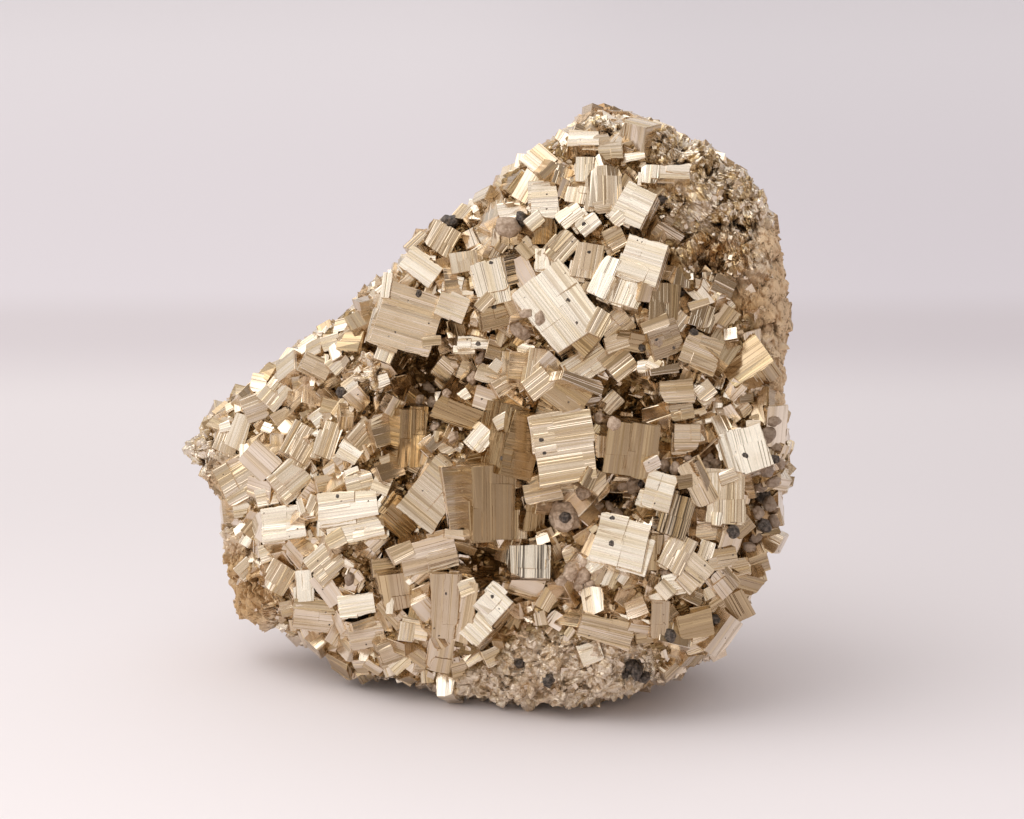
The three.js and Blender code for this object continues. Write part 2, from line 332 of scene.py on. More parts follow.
def sheet_finish():
    finish = bpy.data.materials.new("pale_sheet")
    graph = Graph(finish)
    place = graph.add("TexCoord", {}, {}, "Object")
    away = graph.add("SeparateXYZ", {}, {0: place}, "Y")
    aside = graph.add("SeparateXYZ", {}, {0: place}, "X").between(FALLOFF_FROM, FALLOFF_BY)
    colour = SHEET_FAR_IN_FRONT
    # Painted light: the sheet's tone changes from front to back as the lamp's light falls off.
    for start, whole, tone in SHEET_PAINTED_LIGHT_TONES:
        colour = graph.blend(away.between(start, whole), colour, tone)
    # Painted shade: to the right the sheet is darkened, where the lamp's light from the left falls off.
    multiply = {"data_type": "RGBA", "blend_type": "MULTIPLY"}
    painted_falloff = graph.add("Mix", multiply, {0: aside, 6: colour, 7: SHEET_PAINTED_FALLOFF}, 2)
    graph.surface({"Base Color": painted_falloff, "Roughness": 0.9})
    return finish


def sheet():
    shape = bpy.data.meshes.new("sheet")
    corners = [(x * SHEET_REACH, y * SHEET_REACH, 0) for x, y in ((-1, -1), (1, -1), (1, 1), (-1, 1))]
    shape.from_pydata(corners, [], [(0, 1, 2, 3)])
    shape.materials.append(sheet_finish())
    made = bpy.data.objects.new("sheet", shape)
    bpy.context.scene.collection.objects.link(made)
    return made


sheet()
print("sheet tones:", 1 + len(SHEET_PAINTED_LIGHT_TONES))

# %% The room
# Each row: name, direction it lies in, where it starts and is whole (as cosines), and its colour.
WALL = (0.77, 0.72, 0.735)
DIM = (0.25, 0.19, 0.135)
PANELS = [
    ("front", (-0.05, -1, 0.2), 0.75, 0.97, (0.87, 0.75, 0.625)),
    ("back", (0, 1, 0.1), 0.0, 0.45, (0.72, 0.68, 0.68)),
    ("ceiling", (-0.25, 0.25, 1), 0.35, 0.8, (1.0, 0.97, 0.955)),
    ("left", (-1, -0.1, 0.3), 0.5, 0.85, (1.0, 0.97, 0.95)),
    ("window", (-0.262, -0.72, 0.643), 0.88, 0.965, (1.17, 1.16, 1.15)),
]
CLUTTER = 9
CLUTTERED = 0.9
FILL = 0.6
FILL_LIGHT = (0.95, 0.915, 0.92, 1)


def room():
    world = bpy.data.worlds.new("room")
    graph = Graph(world)
    toward = graph.add("TexCoord", {}, {}, "Generated")
    colour = (*DIM, 1)
    for _, direction, start, whole, light in PANELS:
        values = {0: toward, 1: tuple(Vector(direction).normalized())}
        cosine = graph.add("VectorMath", {"operation": "DOT_PRODUCT"}, values, "Value")
        colour = graph.blend(cosine.between(start, whole), colour, (*light, 1))
    clutter = graph.noise(toward, 3, 0.6, CLUTTER).between(0.36, 0.64) * 0.9 + 0.5
    uneven = graph.add("VectorMath", {"operation": "SCALE"}, {0: colour, "Scale": clutter})
    colour = graph.blend(CLUTTERED, colour, uneven)
    dull = graph.add("LightPath", {}, {}, "Is Diffuse Ray")
    colour = graph.blend(dull * FILL, colour, FILL_LIGHT)
    seen = graph.add("LightPath", {}, {}, "Is Camera Ray")
    lit = graph.add("Background", {}, {"Color": graph.blend(seen, colour, (*WALL, 1))})
    graph.add("OutputWorld", {}, {"Surface": lit})
    bpy.context.scene.world = world


room()
print("room panels:", [name for name, *_ in PANELS])


# %% The lamp
def lamp(name, spot, aim, size, watts, colour):
    light = bpy.data.lights.new(name, "AREA")
    light.shape = "RECTANGLE"
    light.size, light.size_y = size
    light.energy = watts
    light.color = colour
    made = bpy.data.objects.new(name, light)
    made.location = spot
    made.rotation_euler = (Vector(aim) - Vector(spot)).to_track_quat("-Z", "Y").to_euler()
    made.visible_camera = False
    bpy.context.scene.collection.objects.link(made)
    print("lamp:", name, watts, "W")


lamp("overhead", (-0.68, -0.15, 0.97), (0, 0, 0.03), size=(1.3, 1.3), watts=6.1, colour=(1, 0.97, 0.95))

# %% [markdown]
# ## Building many crystals into one mesh
# A pile gathers the corners and faces of hundreds of crystals before one mesh is made of them. Each face
# also keeps where it is along its own ruled lines and across them, in millimetres, which is what the
# finish's streaks follow.


# %% The pile
CUBE_CORNERS = np.array([(x, y, z) for x in (-1, 1) for y in (-1, 1) for z in (-1, 1)], float)
CUBE_FACES = np.array([
    (0, 1, 3, 2), (4, 6, 7, 5), (0, 4, 5, 1), (2, 3, 7, 6), (0, 2, 6, 4), (1, 5, 7, 3),
])
CUBE_AXES = np.array([0, 0, 1, 1, 2, 2])
# Two crystals whose tones differ are this far apart in the finish's patterns, so that no two are alike.
TONE_APART = 900


class Pile:
    """Crystals gathered up to become one mesh."""

    def __init__(self):
        self.points, self.local, self.faces, self.axes, self.tones = [], [], [], [], []
        self.count = 0

    def add(self, local, faces, axes, turn, place, tone):
        self.points.append(local @ turn.T + place)
        self.local.append(local)
        self.faces.extend([[i + self.count for i in face] for face in faces])
        self.axes.append(np.asarray(axes))
        self.tones.append(np.full(len(faces), tone))
        self.count += len(local)

    def add_blocks(self, local, turns, places, tones):
        """Blocks, all at once: corners (n, 8, 3), turns (n, 3, 3), places (n, 3) and tones (n)."""
        points = np.einsum("nij,nkj->nki", turns, local) + places[:, None]
        first = self.count + 8 * np.arange(len(local))
        self.points.append(points.reshape(-1, 3))
        self.local.append(local.reshape(-1, 3))
        self.faces.extend((CUBE_FACES[None] + first[:, None, None]).reshape(-1, 4).tolist())
        self.axes.append(np.tile(CUBE_AXES, len(local)))
        self.tones.append(np.repeat(tones, 6))
        self.count += 8 * len(local)

    def make(self, name, finish):
        shape = bpy.data.meshes.new(name)
        corners = standing(np.concatenate(self.points))
        corners[:, 2] = np.maximum(corners[:, 2], 0)
        shape.from_pydata(corners.tolist(), [], self.faces)
        sizes = np.array([len(face) for face in self.faces])
        axis = np.repeat(np.concatenate(self.axes), sizes)
        corner = np.concatenate([np.asarray(face) for face in self.faces])
        local = np.concatenate(self.local)[corner]
        rows = np.arange(len(corner))
        tone = np.repeat(np.concatenate(self.tones), sizes)
        along, across = local[rows, (axis + 1) % 3], local[rows, (axis + 2) % 3]
        grain = np.stack([along, across, tone * TONE_APART], -1)
        kept = shape.attributes.new("grain", "FLOAT_VECTOR", "CORNER")
        kept.data.foreach_set("vector", grain.astype(np.float32).ravel())
        kept = shape.attributes.new("tone", "FLOAT", "CORNER")
        kept.data.foreach_set("value", tone.astype(np.float32))
        shape.materials.append(finish)
        made = bpy.data.objects.new(name, shape)
        bpy.context.scene.collection.objects.link(made)
        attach(made, "root")
        print(name, "triangles:", sum(sizes - 2))


# %% How a crystal is turned
def facing(yaw, pitch, roll):
    """Turned to the right by `yaw`, tipped upwards by `pitch`, its lines rolled by `roll`."""
    turn = Matrix.Rotation(math.radians(yaw), 3, "Y") @ Matrix.Rotation(math.radians(-pitch), 3, "X")
    return np.array(turn @ Matrix.Rotation(math.radians(roll), 3, "Z"))


print("a face turned 90 to the right faces:", facing(90, 0, 0)[:, 2].round(3))

# %% [markdown]
# ## A ruled face
# Pyrite's lines are a stair of two kinds of face: the cube's own, and narrow strips of the twelve-sided
# form, which slopes to it by 26.6 degrees. So a face's section is a run of nearly level flats with short
# slopes between them, never straying far from the face itself. The lines on neighbouring faces run at
# right angles to each other.

# %% The section of a ruled face
# How wide a flat usually is, how far a face may stray from level, in mm, and how the flats and slopes vary.
FLAT = 0.26
STRAY_LIMIT = 0.1
SLOPE = math.tan(math.radians(26.57))
SWAY = math.radians(1.7)
BOW = math.radians(2.0)
BEVEL = (0.05, 0.14)
BEVEL_SHARE = 0.12
MARGIN = 0.1
STEP = (0.03, 0.13)
STEP_SHARE = 0.3
STEP_ROOM = 1.3
LEAST_FLAT = 0.05
LEAST_APART = 0.01


def ruled_section(rng, half, flat, limit):
    """Places across a face from -half to half, and how proud the face stands at each."""
    bevel = min(BEVEL_SHARE * half, rng.uniform(*BEVEL))
    margin = bevel + MARGIN * min(half, 1)
    across, proud = [-half, -half + bevel, -half + margin], [-bevel * SLOPE, 0.0, 0.0]
    bow = rng.normal(0, BOW)
    while half - margin - across[-1] > STEP_ROOM * flat:
        slope = min(rng.uniform(*STEP), STEP_SHARE * flat)
        way = rng.choice([-1, 1]) if abs(proud[-1]) < limit else -np.sign(proud[-1])
        across.append(across[-1] + slope)
        proud.append(proud[-1] + way * slope * SLOPE)
        level = min(LEAST_FLAT + rng.exponential(flat), half - margin - across[-1])
        across.append(across[-1] + level)
        proud.append(proud[-1] + level * math.tan(rng.normal(0, SWAY) + bow * across[-1] / half))
    across[-1] = max(across[-1], across[-2] + LEAST_APART)
    across += [half - bevel, half]
    return np.array(across), np.array(proud + [proud[-1], proud[-1] - bevel * SLOPE])


def block_sections(rng, halves, flat, limit):
    """The sections of a block's six faces. Its back is buried, so it stays plain."""
    section = {}
    for axis in range(3):
        half = halves[(axis + 2) % 3]
        for side in (0, 1):
            if axis == 2 and side == 0:
                section[axis, side] = np.array([-half, half]), np.zeros(2)
            else:
                section[axis, side] = ruled_section(rng, half, flat, limit)
    return section


sample = ruled_section(np.random.default_rng(1), 3, FLAT, STRAY_LIMIT)
print("breaks across a ruled face 6 mm wide:", len(sample[0]))


# %% Its corners and edges
def block_edges(halves, section):
    """A block's points, and which of them lie along each edge: its corners and the ends of the lines."""
    points, corner, edge = [], {}, {}

    def keep(spot):
        points.append(spot)
        return len(points) - 1

    for sides in np.ndindex(2, 2, 2):
        spot = np.zeros(3)
        for axis in range(3):
            end = -1 if sides[(axis + 2) % 3] else 0
            spot[axis] = (2 * sides[axis] - 1) * (halves[axis] + section[axis, sides[axis]][1][end])
        corner[sides] = keep(spot)
    for along in range(3):
        first, second = (along + 1) % 3, (along + 2) % 3
        for a, b in np.ndindex(2, 2):
            across, proud = section[first, a]
            sides = [0, 0, 0]
            sides[first], sides[second] = a, b
            run = [corner[tuple(sides)]]
            for place, rise in zip(across[1:-1], proud[1:-1]):
                spot = np.zeros(3)
                spot[along] = place
                spot[first] = (2 * a - 1) * (halves[first] + rise)
                spot[second] = (2 * b - 1) * (halves[second] + section[second, b][1][-1 if a else 0])
                run.append(keep(spot))
            sides[along] = 1
            edge[along, a, b] = run + [corner[tuple(sides)]]
    return np.array(points), edge


# %% A whole crystal
def block_faces(edge):
    """Strips from edge to edge, one for each stretch between two lines, and the axis that each faces."""
    faces, axes = [], []
    for axis in range(3):
        line, cross = (axis + 1) % 3, (axis + 2) % 3
        for side in (0, 1):
            low, high = edge[cross, side, 0], edge[cross, side, 1]
            start, stop = edge[line, 0, side], edge[line, 1, side]
            last = len(low) - 2
            for i in range(last + 1):
                front = start[::-1] if i == 0 else [high[i], low[i]]
                back = stop if i == last else [low[i + 1], high[i + 1]]
                ring = front + back
                faces.append(ring[::-1] if side else ring)
                axes.append(axis)
    return faces, axes


def ruled_crystal(rng, halves, flat, limit=STRAY_LIMIT):
    """A closed block whose faces are ruled, each across the lines of its neighbours."""
    points, edge = block_edges(halves, block_sections(rng, halves, flat, limit))
    return points, *block_faces(edge)


sample = ruled_crystal(np.random.default_rng(1), (3, 3, 3), FLAT)
print("faces of a crystal 6 mm across:", len(sample[1]))

# %% [markdown]
# ## The finishes
# All of it is pyrite, and its colour is the colour that the metal reflects: a pale brass, browner where a
# film of tarnish lies on it. Lines too fine to model run along the ruled ones: a noise that is stretched
# out along the face's own lines gives them. A few pits are scattered over the faces. Each crystal keeps
# one tone, from bright to brown, and on the few whose tone is past brown the lines are dark all over. The
# tone is partly tarnish and partly painted light: crystals that lean to catch the window are given paler
# tones, and those turned away from it browner ones, as painted shade.

# %% The colours of pyrite
PALE = (0.87, 0.77, 0.645, 1)
TARNISHED = (0.66, 0.51, 0.36, 1)
DEEP = (0.42, 0.30, 0.165, 1)
GOLDEN = (0.72, 0.55, 0.32, 1)
BROWN = (0.35, 0.24, 0.125, 1)
# A near-black, both for dark tarnish on the crystals and for painted shade in the matrix's low places and
# seams.
STAIN_AND_SHADE = (0.10, 0.075, 0.055, 1)
BUFF = (0.74, 0.545, 0.345, 1)
# A dark earthy brown, both for weathered grains and for painted shade on the matrix's low places.
EARTH_AND_SHADE = (0.28, 0.185, 0.10, 1)
RUST = (0.58, 0.37, 0.17, 1)
# The matrix seen between the crystals is painted this dark brown: painted shade in the gaps.
GAP_SHADE = (0.27, 0.18, 0.085, 1)


# %% The finish of the crystals
def crystal_finish():
    finish = bpy.data.materials.new("crystal_pyrite")
    graph = Graph(finish)
    grain = graph.attribute("grain")
    tone = graph.attribute("tone", "Fac")
    broad = graph.noise(graph.scaled(grain, (0.02, 0.9, 1)), 3, 0.6)
    fine = graph.noise(graph.scaled(grain, (0.03, 4.5, 1)), 3, 0.6)
    cloud = graph.noise(graph.scaled(grain, (0.4, 0.4, 1)), 2, 0.5)
    stop = graph.noise(graph.scaled(grain, (0.3, 1.6, 1)), 2, 0.5)
    pit_values = {"Vector": graph.scaled(grain, (0.9, 0.9, 1)), "Scale": 1.0}
    pit = graph.add("TexVoronoi", {"feature": "F1"}, pit_values, "Distance") + (cloud - 0.5) * 0.12
    pick = graph.noise(graph.scaled(grain, (0.5, 0.5, 1.7)), 1)
    pitted = (1 - pit.between(0.08, 0.13)) * pick.between(0.60, 0.63)
    smooth = graph.noise(graph.scaled(grain, (0, 0, 1.3)), 0).between(0.38, 0.56)
    many = (tone * 0.5 + 0.75).limited()
    dashes = fine.between(0.52, 0.58) * broad.between(0.40, 0.54) * stop.between(0.24, 0.34)
    line = dashes * many * (1 - smooth * 0.7)
    thick = graph.noise(graph.scaled(grain, (0.02, 1.9, 1)), 1).between(0.585, 0.615)
    line = (line + thick * (1 - smooth * 0.5) * 0.8).limited()
    sweep = graph.noise(graph.scaled(grain, (0.05, 0.28, 1)), 1).between(0.44, 0.62)
    banded = tone.between(1.15, 1.3)
    plain = 1 - banded * 0.85
    # The tone is partly tarnish and partly painted light: crystals that catch the window are given paler
    # tones, so the blends below that follow it paint light on those faces and shade on the ones turned away.
    film = (cloud * 0.8 + tone * plain * 0.8 - 0.46).limited()
    colour = graph.blend(film, PALE, TARNISHED)
    colour = graph.blend(sweep * (0.18 + tone * 0.3), colour, DEEP)
    colour = graph.blend(tone.between(0.62, 0.95) * plain * 0.85, colour, DEEP)
    colour = graph.blend(broad.between(0.48, 0.60) * (0.35 + tone * 0.35), colour, GOLDEN)
    colour = graph.blend(tone.between(0.98, 1.1) * plain * 0.72, colour, BROWN)
    colour = graph.blend(line * (0.44 + tone * 0.42), colour, BROWN)
    ruled = fine.between(0.48, 0.53) * banded
    colour = graph.blend(ruled * 0.85, colour, STAIN_AND_SHADE)
    colour = graph.blend(pitted * 0.9, colour, STAIN_AND_SHADE)
    height = broad * 0.8 + fine * 0.9 - line * 0.3 - pitted * 3
    graph.surface({
        "Base Color": colour,
        "Metallic": 1 - pitted * 0.7,
        "Roughness": 0.12 + cloud * 0.12 + line * 0.15 + pitted * 0.4,
        "Normal": graph.bump(height, 0.018),
    })
    return finish


CRYSTAL_PYRITE = crystal_finish()
print("nodes in the crystals' finish:", len(CRYSTAL_PYRITE.node_tree.nodes))


# %% The finish of the loose grains
def grain_finish():
    finish = bpy.data.materials.new("grain_pyrite")
    graph = Graph(finish)
    tone = graph.attribute("tone", "Fac")
    place = graph.place()
    cloud = graph.noise(graph.scaled(place, (0.2, 0.2, 0.2)), 3, 0.6)
    speck = graph.noise(graph.scaled(place, (2.6, 2.6, 2.6)), 3, 0.6)
    aged = tone.between(0.95, 1.5)
    film = (cloud.between(0.35, 0.7) * 0.6 + tone * 0.8 - 0.2).limited()
    colour = graph.blend(film, PALE, TARNISHED)
    colour = graph.blend(tone.between(0.7, 0.95) * 0.75, colour, DEEP)
    colour = graph.blend(aged, colour, graph.blend(speck.between(0.38, 0.6), EARTH_AND_SHADE, BUFF))
    graph.surface({
        "Base Color": colour,
        "Metallic": 1 - aged * 0.85,
        "Roughness": 0.18 + speck * 0.15 + aged * 0.35,
        "Normal": graph.bump(speck, 0.08),
    })
    return finish


GRAIN_PYRITE = grain_finish()
print("nodes in the grains' finish:", len(GRAIN_PYRITE.node_tree.nodes))

# %% [markdown]
# The matrix is the same mineral in grains. Its mesh will keep a few values at each point: how bare of
# crystals it is, how weathered and how rusted, how far it is raised, and the tone and the seams of its
# facets. The finish reads them and paints light with some of them: a raised facet is painted bright, a low
# place or a seam is painted dark as painted shade, and the matrix seen between the crystals is painted the
# dark shade of a gap. A weathered patch is dull brown and hardly metal any more.


# %% The finish of the matrix
def matrix_finish():
    finish = bpy.data.materials.new("matrix_pyrite")
    graph = Graph(finish)
    place = graph.place()
    crusted = graph.attribute("crusted", "Fac")
    weathered = graph.attribute("weathered", "Fac")
    rusted = graph.attribute("rusted", "Fac")
    raised = graph.attribute("raised", "Fac")
    facet_tone = graph.attribute("facet_tone", "Fac")
    seam = graph.attribute("seam", "Fac")
    # Frosted patches are painted paler below: partly their frosted finish, and partly painted light that
    # lifts the shade low on the specimen.
    frosted = weathered.between(0, 0.28) * (1 - weathered.between(0.5, 0.9))
    cloud = graph.noise(graph.scaled(place, (0.16, 0.16, 0.16)), 4, 0.6)
    speck = graph.noise(graph.scaled(place, (1.5, 1.5, 1.5)), 2, 0.6)
    facet, middle = graph.facets(place, 2.2)
    hole = 1 - middle.between(0.14, 0.26)
    # Painted light: `high` rises with how far a place is raised, so raised places are painted lighter and
    # low ones darker, as if lit above and shaded between the grains.
    high = (raised + speck + facet_tone * 1.2 - 0.8 + frosted).between(-0.9, 0.3)
    dull = (cloud.between(0.52, 0.62) * 0.2 + weathered).limited()
    bright = (facet_tone.between(0.2, 0.65) * 0.9 + frosted * 0.5).limited()
    # The foil and the stone are painted dark where low and light where raised: painted light and shade.
    foil = graph.blend(bright, graph.blend(high, EARTH_AND_SHADE, GOLDEN), PALE)
    stone = graph.blend(high.between(0.1, 0.7), EARTH_AND_SHADE, BUFF)
    colour = graph.blend(dull, foil, stone)
    colour = graph.blend(rusted * cloud.between(0.30, 0.46) * 0.9, colour, RUST)
    # Painted shade: where crystals cover the matrix, what shows of it between them is painted the dark shade
    # of a gap.
    colour = graph.blend(crusted, GAP_SHADE, colour)
    # Painted shade: low places are darkened to near-black, and so are the seams between the crust's facets.
    colour = graph.blend((1 - high.between(0.0, 0.12)) * (0.7 - dull * 0.5), colour, STAIN_AND_SHADE)
    colour = graph.blend(crusted * seam * (0.35 - dull * 0.2), colour, STAIN_AND_SHADE)
    colour = graph.blend(hole * dull * 0.7, colour, EARTH_AND_SHADE)
    graph.surface({
        "Base Color": colour,
        "Metallic": 0.95 - dull * 0.75,
        "Roughness": 0.17 + dull * 0.45,
        "Normal": graph.bump(facet * 0.8 + speck * 0.2 - hole * dull * 0.3, 0.25),
    })
    return finish


MATRIX_PYRITE = matrix_finish()
print("nodes in the matrix's finish:", len(MATRIX_PYRITE.node_tree.nodes))

# %% [markdown]
# ## The matrix
# The lump itself is a fine ball, shaped by the same recipe as the solid and then roughened. Where
# crystals will cover it the roughness can be plain. Where it stays bare it is a crust of grains grown
# against each other, and that is built of flat facets at three sizes, each leaning its own way, with
# seams between them: a bump in the finish would give neither the glitter nor the ragged edge. Nothing may
# go below the table, so the base stays flat.

# %% Where it is bare
# Parts of the front have no crystals, only a crumpled crust of grains. Each row: x, y, radius.
BARE_FIRMNESS = 4
GRANULAR = [
    (27, 32, 8), (34, 26, 7), (38, 19, 7), (40, 11, 6), (38, 4, 4.5), (27.5, 22.5, 4.5), (33, 15, 3),
    (16, 39, 4), (7, -35, 7), (16, -34.5, 6.5), (-1, -38, 5), (-39, -5, 4.5), (-32.5, -25, 6),
    (-35, -19, 4.5), (-33, -8.6, 3.6), (-15.5, 5, 2.6),
]


def sighted(points):
    """Where each point is sighted, as x and y."""
    near = 1 - points[:, 2] / SIGHT
    return points[:, 0] / near, points[:, 1] / near


def spread(rows, points, firmness):
    """1 well inside the rows' circles as they are sighted, falling to 0 at their edges."""
    px, py = sighted(points)
    depth = [1 - np.hypot(px - x, py - y) / r for x, y, r in rows]
    return np.clip(firmness * np.max(depth, axis=0), 0, 1)


def granular(points):
    return spread(GRANULAR, points, BARE_FIRMNESS)


print("share of the rim that is bare:", round(float(granular(unsight(*OUTLINE.T, 0)).mean()), 2))

# %% Where it is weathered
# Rows of the same kind, for what is dull brown, what is only frosted over, and what is rusty.
WORN_FIRMNESS = 2
RUSTY_FIRMNESS = 1.5
WEATHERED = [(41, 14, 10), (41, 5, 8), (38, 22, 4), (31, 16, 3), (-34, -27, 6), (-34, -9, 4)]
FROST = 0.28
# The frosted places are also painted paler in the matrix's finish: partly their frosted finish, and partly
# painted light that lifts the shade low on the specimen.
FROSTED = [(0, -36, 7), (7, -35, 8), (16, -34, 7.5), (-35, -19, 7)]
RUSTED = [(-33, -23, 9), (29.5, 18.5, 6), (33, 13, 4.5), (25, 14, 3)]


def worn_dull(points):
    """How far the skin has weathered: wholly in some places, and partly in others."""
    weathered, frosted = (spread(rows, points, WORN_FIRMNESS) for rows in (WEATHERED, FROSTED))
    return np.maximum(weathered, FROST * frosted)


print("weathered, frosted and rusty places:", len(WEATHERED), len(FROSTED), len(RUSTED))

# %% The front and the back
BEHIND_OVER = 6
FRONT_OVER = 3


def behind(points):
    """0 on the front, rising to 1 a little way past the rim, on the sides and the back."""
    return np.clip((rim_depth(points[:, 0]) - points[:, 2]) / BEHIND_OVER, 0, 1)


def on_front(points, over=FRONT_OVER):
    """Whether each point is on the front or only a little way past the rim."""
    return points[:, 2] > rim_depth(points[:, 0]) - over


def patches(points, size):
    """Broad soft patches, from about -0.5 to 0.5."""
    return np.array([noise.noise(Vector(p) / size) for p in points])


for depth in (RIM_FRONT, RIM_FRONT - BEHIND_OVER / 2, BACK_AT):
    print("at a depth of", depth, "mm, behind by", behind(np.array([[RIM_BEND_FROM, 0, depth]]))[0])

# %% Nuggets and caves of the crust
# Each row: x, y, radius, height, with a cave's height below zero.
NUGGETS = [
    (22.9, 21.4, 1.3, 1.8), (24.4, 19.4, 1.2, 1.9), (25.7, 17.6, 1.2, 1.8), (24.3, 23.8, 1.4, 1.5),
    (27.0, 15.8, 1.1, 1.5), (29.0, 13.6, 1.2, 1.3), (26.4, 21.0, 1.0, 1.2), (28.6, 19.0, 1.9, -2.6),
    (25.6, 26.4, 1.5, -2.0), (31.8, 16.6, 1.5, -1.6), (30.8, 21.6, 1.4, 1.3), (33.4, 19.0, 1.6, 1.2),
    (29.4, 24.4, 1.6, -1.6), (22.6, 35.4, 1.5, 1.0), (27.8, 33.6, 1.6, 0.9), (32.2, 29.6, 1.6, 0.9),
    (27.4, 25.2, 3.4, 2.6), (-15.4, 6.4, 0.9, 1.0), (-16.6, 4.4, 0.9, 1.1), (-14.6, 3.2, 0.9, 1.0),
    (6.4, -34.0, 1.4, 0.9), (10.2, -36.0, 1.4, 0.9), (15.4, -33.4, 1.5, 0.9), (19.0, -33.6, 1.2, -1.2),
    (3.2, -35.4, 1.3, 0.8),
]
print("nuggets:", sum(row[3] > 0 for row in NUGGETS), "caves:", sum(row[3] < 0 for row in NUGGETS))

# %% A ball of squares
BALL_CUTS = 81
REFINED = 2
REFINED_OVER = 4


def on_ball(corners):
    """Points of a cube, moved out onto the unit ball so that its squares stay about the same size."""
    warped = np.tan(corners * math.pi / 4)
    return warped / np.linalg.norm(warped, axis=1)[:, None]


def ball_of_squares():
    """Directions over the ball and the faces between them, finer where the crust will be seen."""
    made = bmesh.new()
    bmesh.ops.create_cube(made, size=2)
    bmesh.ops.subdivide_edges(made, edges=made.edges[:], cuts=BALL_CUTS, use_grid_fill=True)
    middles = skin(on_ball(np.array([face.calc_center_median() for face in made.faces])))
    seen = (granular(middles) > 0) & on_front(middles, REFINED_OVER)
    made.faces.ensure_lookup_table()
    edges = {edge for i in np.flatnonzero(seen) for edge in made.faces[i].edges}
    bmesh.ops.subdivide_edges(made, edges=list(edges), cuts=REFINED, use_grid_fill=True)
    bmesh.ops.triangulate(made, faces=[face for face in made.faces if len(face.verts) > 4])
    made.verts.index_update()
    corners = on_ball(np.array([v.co for v in made.verts]))
    faces = [[v.index for v in face.verts] for face in made.faces]
    made.free()
    return corners, faces


directions, skin_faces = ball_of_squares()
print("points of the ball:", len(directions))


# %% Which way the skin faces
def four_sided(faces):
    """Faces as rows of four corners, with a triangle's last one twice."""
    return np.array([face[:3] + [face[-1]] for face in faces])


def outward_area(points, quad):
    """The cross product of each face's diagonals, which points outward and is twice as long as its area."""
    return np.cross(points[quad[:, 2]] - points[quad[:, 0]], points[quad[:, 3]] - points[quad[:, 1]])


def outward(points, faces):
    """The direction that each point of a skin faces."""
    quad = four_sided(faces)
    area = outward_area(points, quad)
    total = np.zeros_like(points)
    for i in range(4):
        np.add.at(total, quad[:, i], area)
    return total / np.maximum(np.linalg.norm(total, axis=1), ROUNDING)[:, None]


skin_points = skin(directions)
skin_normals = outward(skin_points, skin_faces)
print("share of the skin that faces the front:", (skin_normals[:, 2] > 0).mean().round(2))

# %% Roughness and facets
# Each row: a size, and how high a lump of that size stands, or how steep a facet of that size leans.
ROUGHNESS_SIZES = [(4.5, 0.55), (1.7, 0.38), (0.7, 0.2)]
BROKEN_SIZES = [(13, 2.2), (5.5, 1.0)]
CRUST_SIZES = [(4.2, 0.7), (1.8, 0.3)]
CRUST_FACETS = [(2.4, 0.9), (1.3, 1.1), (0.75, 0.5)]
LUMP_MIDDLE = 0.6
SEAM = 0.2
SEAM_DEPTH = 0.1
HALF = Vector((0.5, 0.5, 0.5))
# Neighbouring facets have to lean differently, so their middles are spread apart before they are looked up.
LEAN_SPREAD = 7.3
TONE_SPREAD = 5.1


def roughness_at(points, sizes):
    """Rise of a lumpy surface at several sizes."""
    rises = []
    for point in points:
        rise = 0
        for size, height in sizes:
            near = noise.voronoi(point / size)[0]
            rise += height * (2 * (near[1] - near[0]) - LUMP_MIDDLE)
        rises.append(rise)
    return np.array(rises)


def facets_at(point, sizes):
    """Rise of a surface of leaning facets at several sizes, the smallest's tone, and how far in a seam."""
    rise = seam = 0
    for size, steepness in sizes:
        near, middles = noise.voronoi(point / size)
        lean = noise.cell_vector(middles[0] * LEAN_SPREAD) - HALF
        edge = max(0, 1 - (near[1] - near[0]) / SEAM)
        rise += size * (steepness * lean.dot(point / size - middles[0]) - edge * SEAM_DEPTH)
        seam = max(seam, edge * size / sizes[0][0])
    return rise, 0.5 + noise.cell(middles[0] * TONE_SPREAD) / 2, seam


vectors = [Vector(point) for point in skin_points]
facets, facet_tones, seams = np.array([facets_at(vector, CRUST_FACETS) for vector in vectors]).T
print("facets rise and fall by, mm:", facets.min().round(2), facets.max().round(2))

# %% Roughen the skin
LUMPS_WORN, FACETS_WORN = 0.6, 0.4

skin_bare = granular(skin_points)
skin_dull = worn_dull(skin_points)
plain = roughness_at(vectors, ROUGHNESS_SIZES)
lumps = roughness_at(vectors, CRUST_SIZES) * (1 - LUMPS_WORN * skin_dull)
crumpled = lumps + facets * (1 - FACETS_WORN * skin_dull)
nuggets = np.where(skin_normals[:, 2] > 0, bumps(NUGGETS, *sighted(skin_points)), 0)
rough = plain + skin_bare * (crumpled - plain) + nuggets
broken = behind(skin_points) * roughness_at(vectors, BROKEN_SIZES)
mass_points = standing(skin_points + skin_normals * (rough + broken)[:, None])
mass_points[:, 2] = np.maximum(mass_points[:, 2], 0)
skin_rough = laid_out(mass_points)
print("the skin is roughened by, mm:", rough.min().round(2), "to", rough.max().round(2))

# %% The matrix mass
mass_shape = bpy.data.meshes.new("matrix_mass")
mass_shape.from_pydata(mass_points.tolist(), [], skin_faces)
# The finish paints light from some of these: raised places lighter, low places and seams darker, and the
# matrix seen between the crystals a dark gap shade.
kept_values = {
    "crusted": skin_bare,
    "weathered": skin_dull,
    "rusted": spread(RUSTED, skin_points, RUSTY_FIRMNESS),
    "raised": rough,
    "facet_tone": facet_tones,
    "seam": seams,
}
for name, values in kept_values.items():
    kept = mass_shape.attributes.new(name, "FLOAT", "POINT")
    kept.data.foreach_set("value", values.astype(np.float32))
mass_shape.materials.append(MATRIX_PYRITE)
matrix_mass = bpy.data.objects.new("matrix_mass", mass_shape)
bpy.context.scene.collection.objects.link(matrix_mass)
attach(matrix_mass, "root")
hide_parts("pyrite_cluster")
print("matrix triangles:", sum(len(face) - 2 for face in skin_faces))
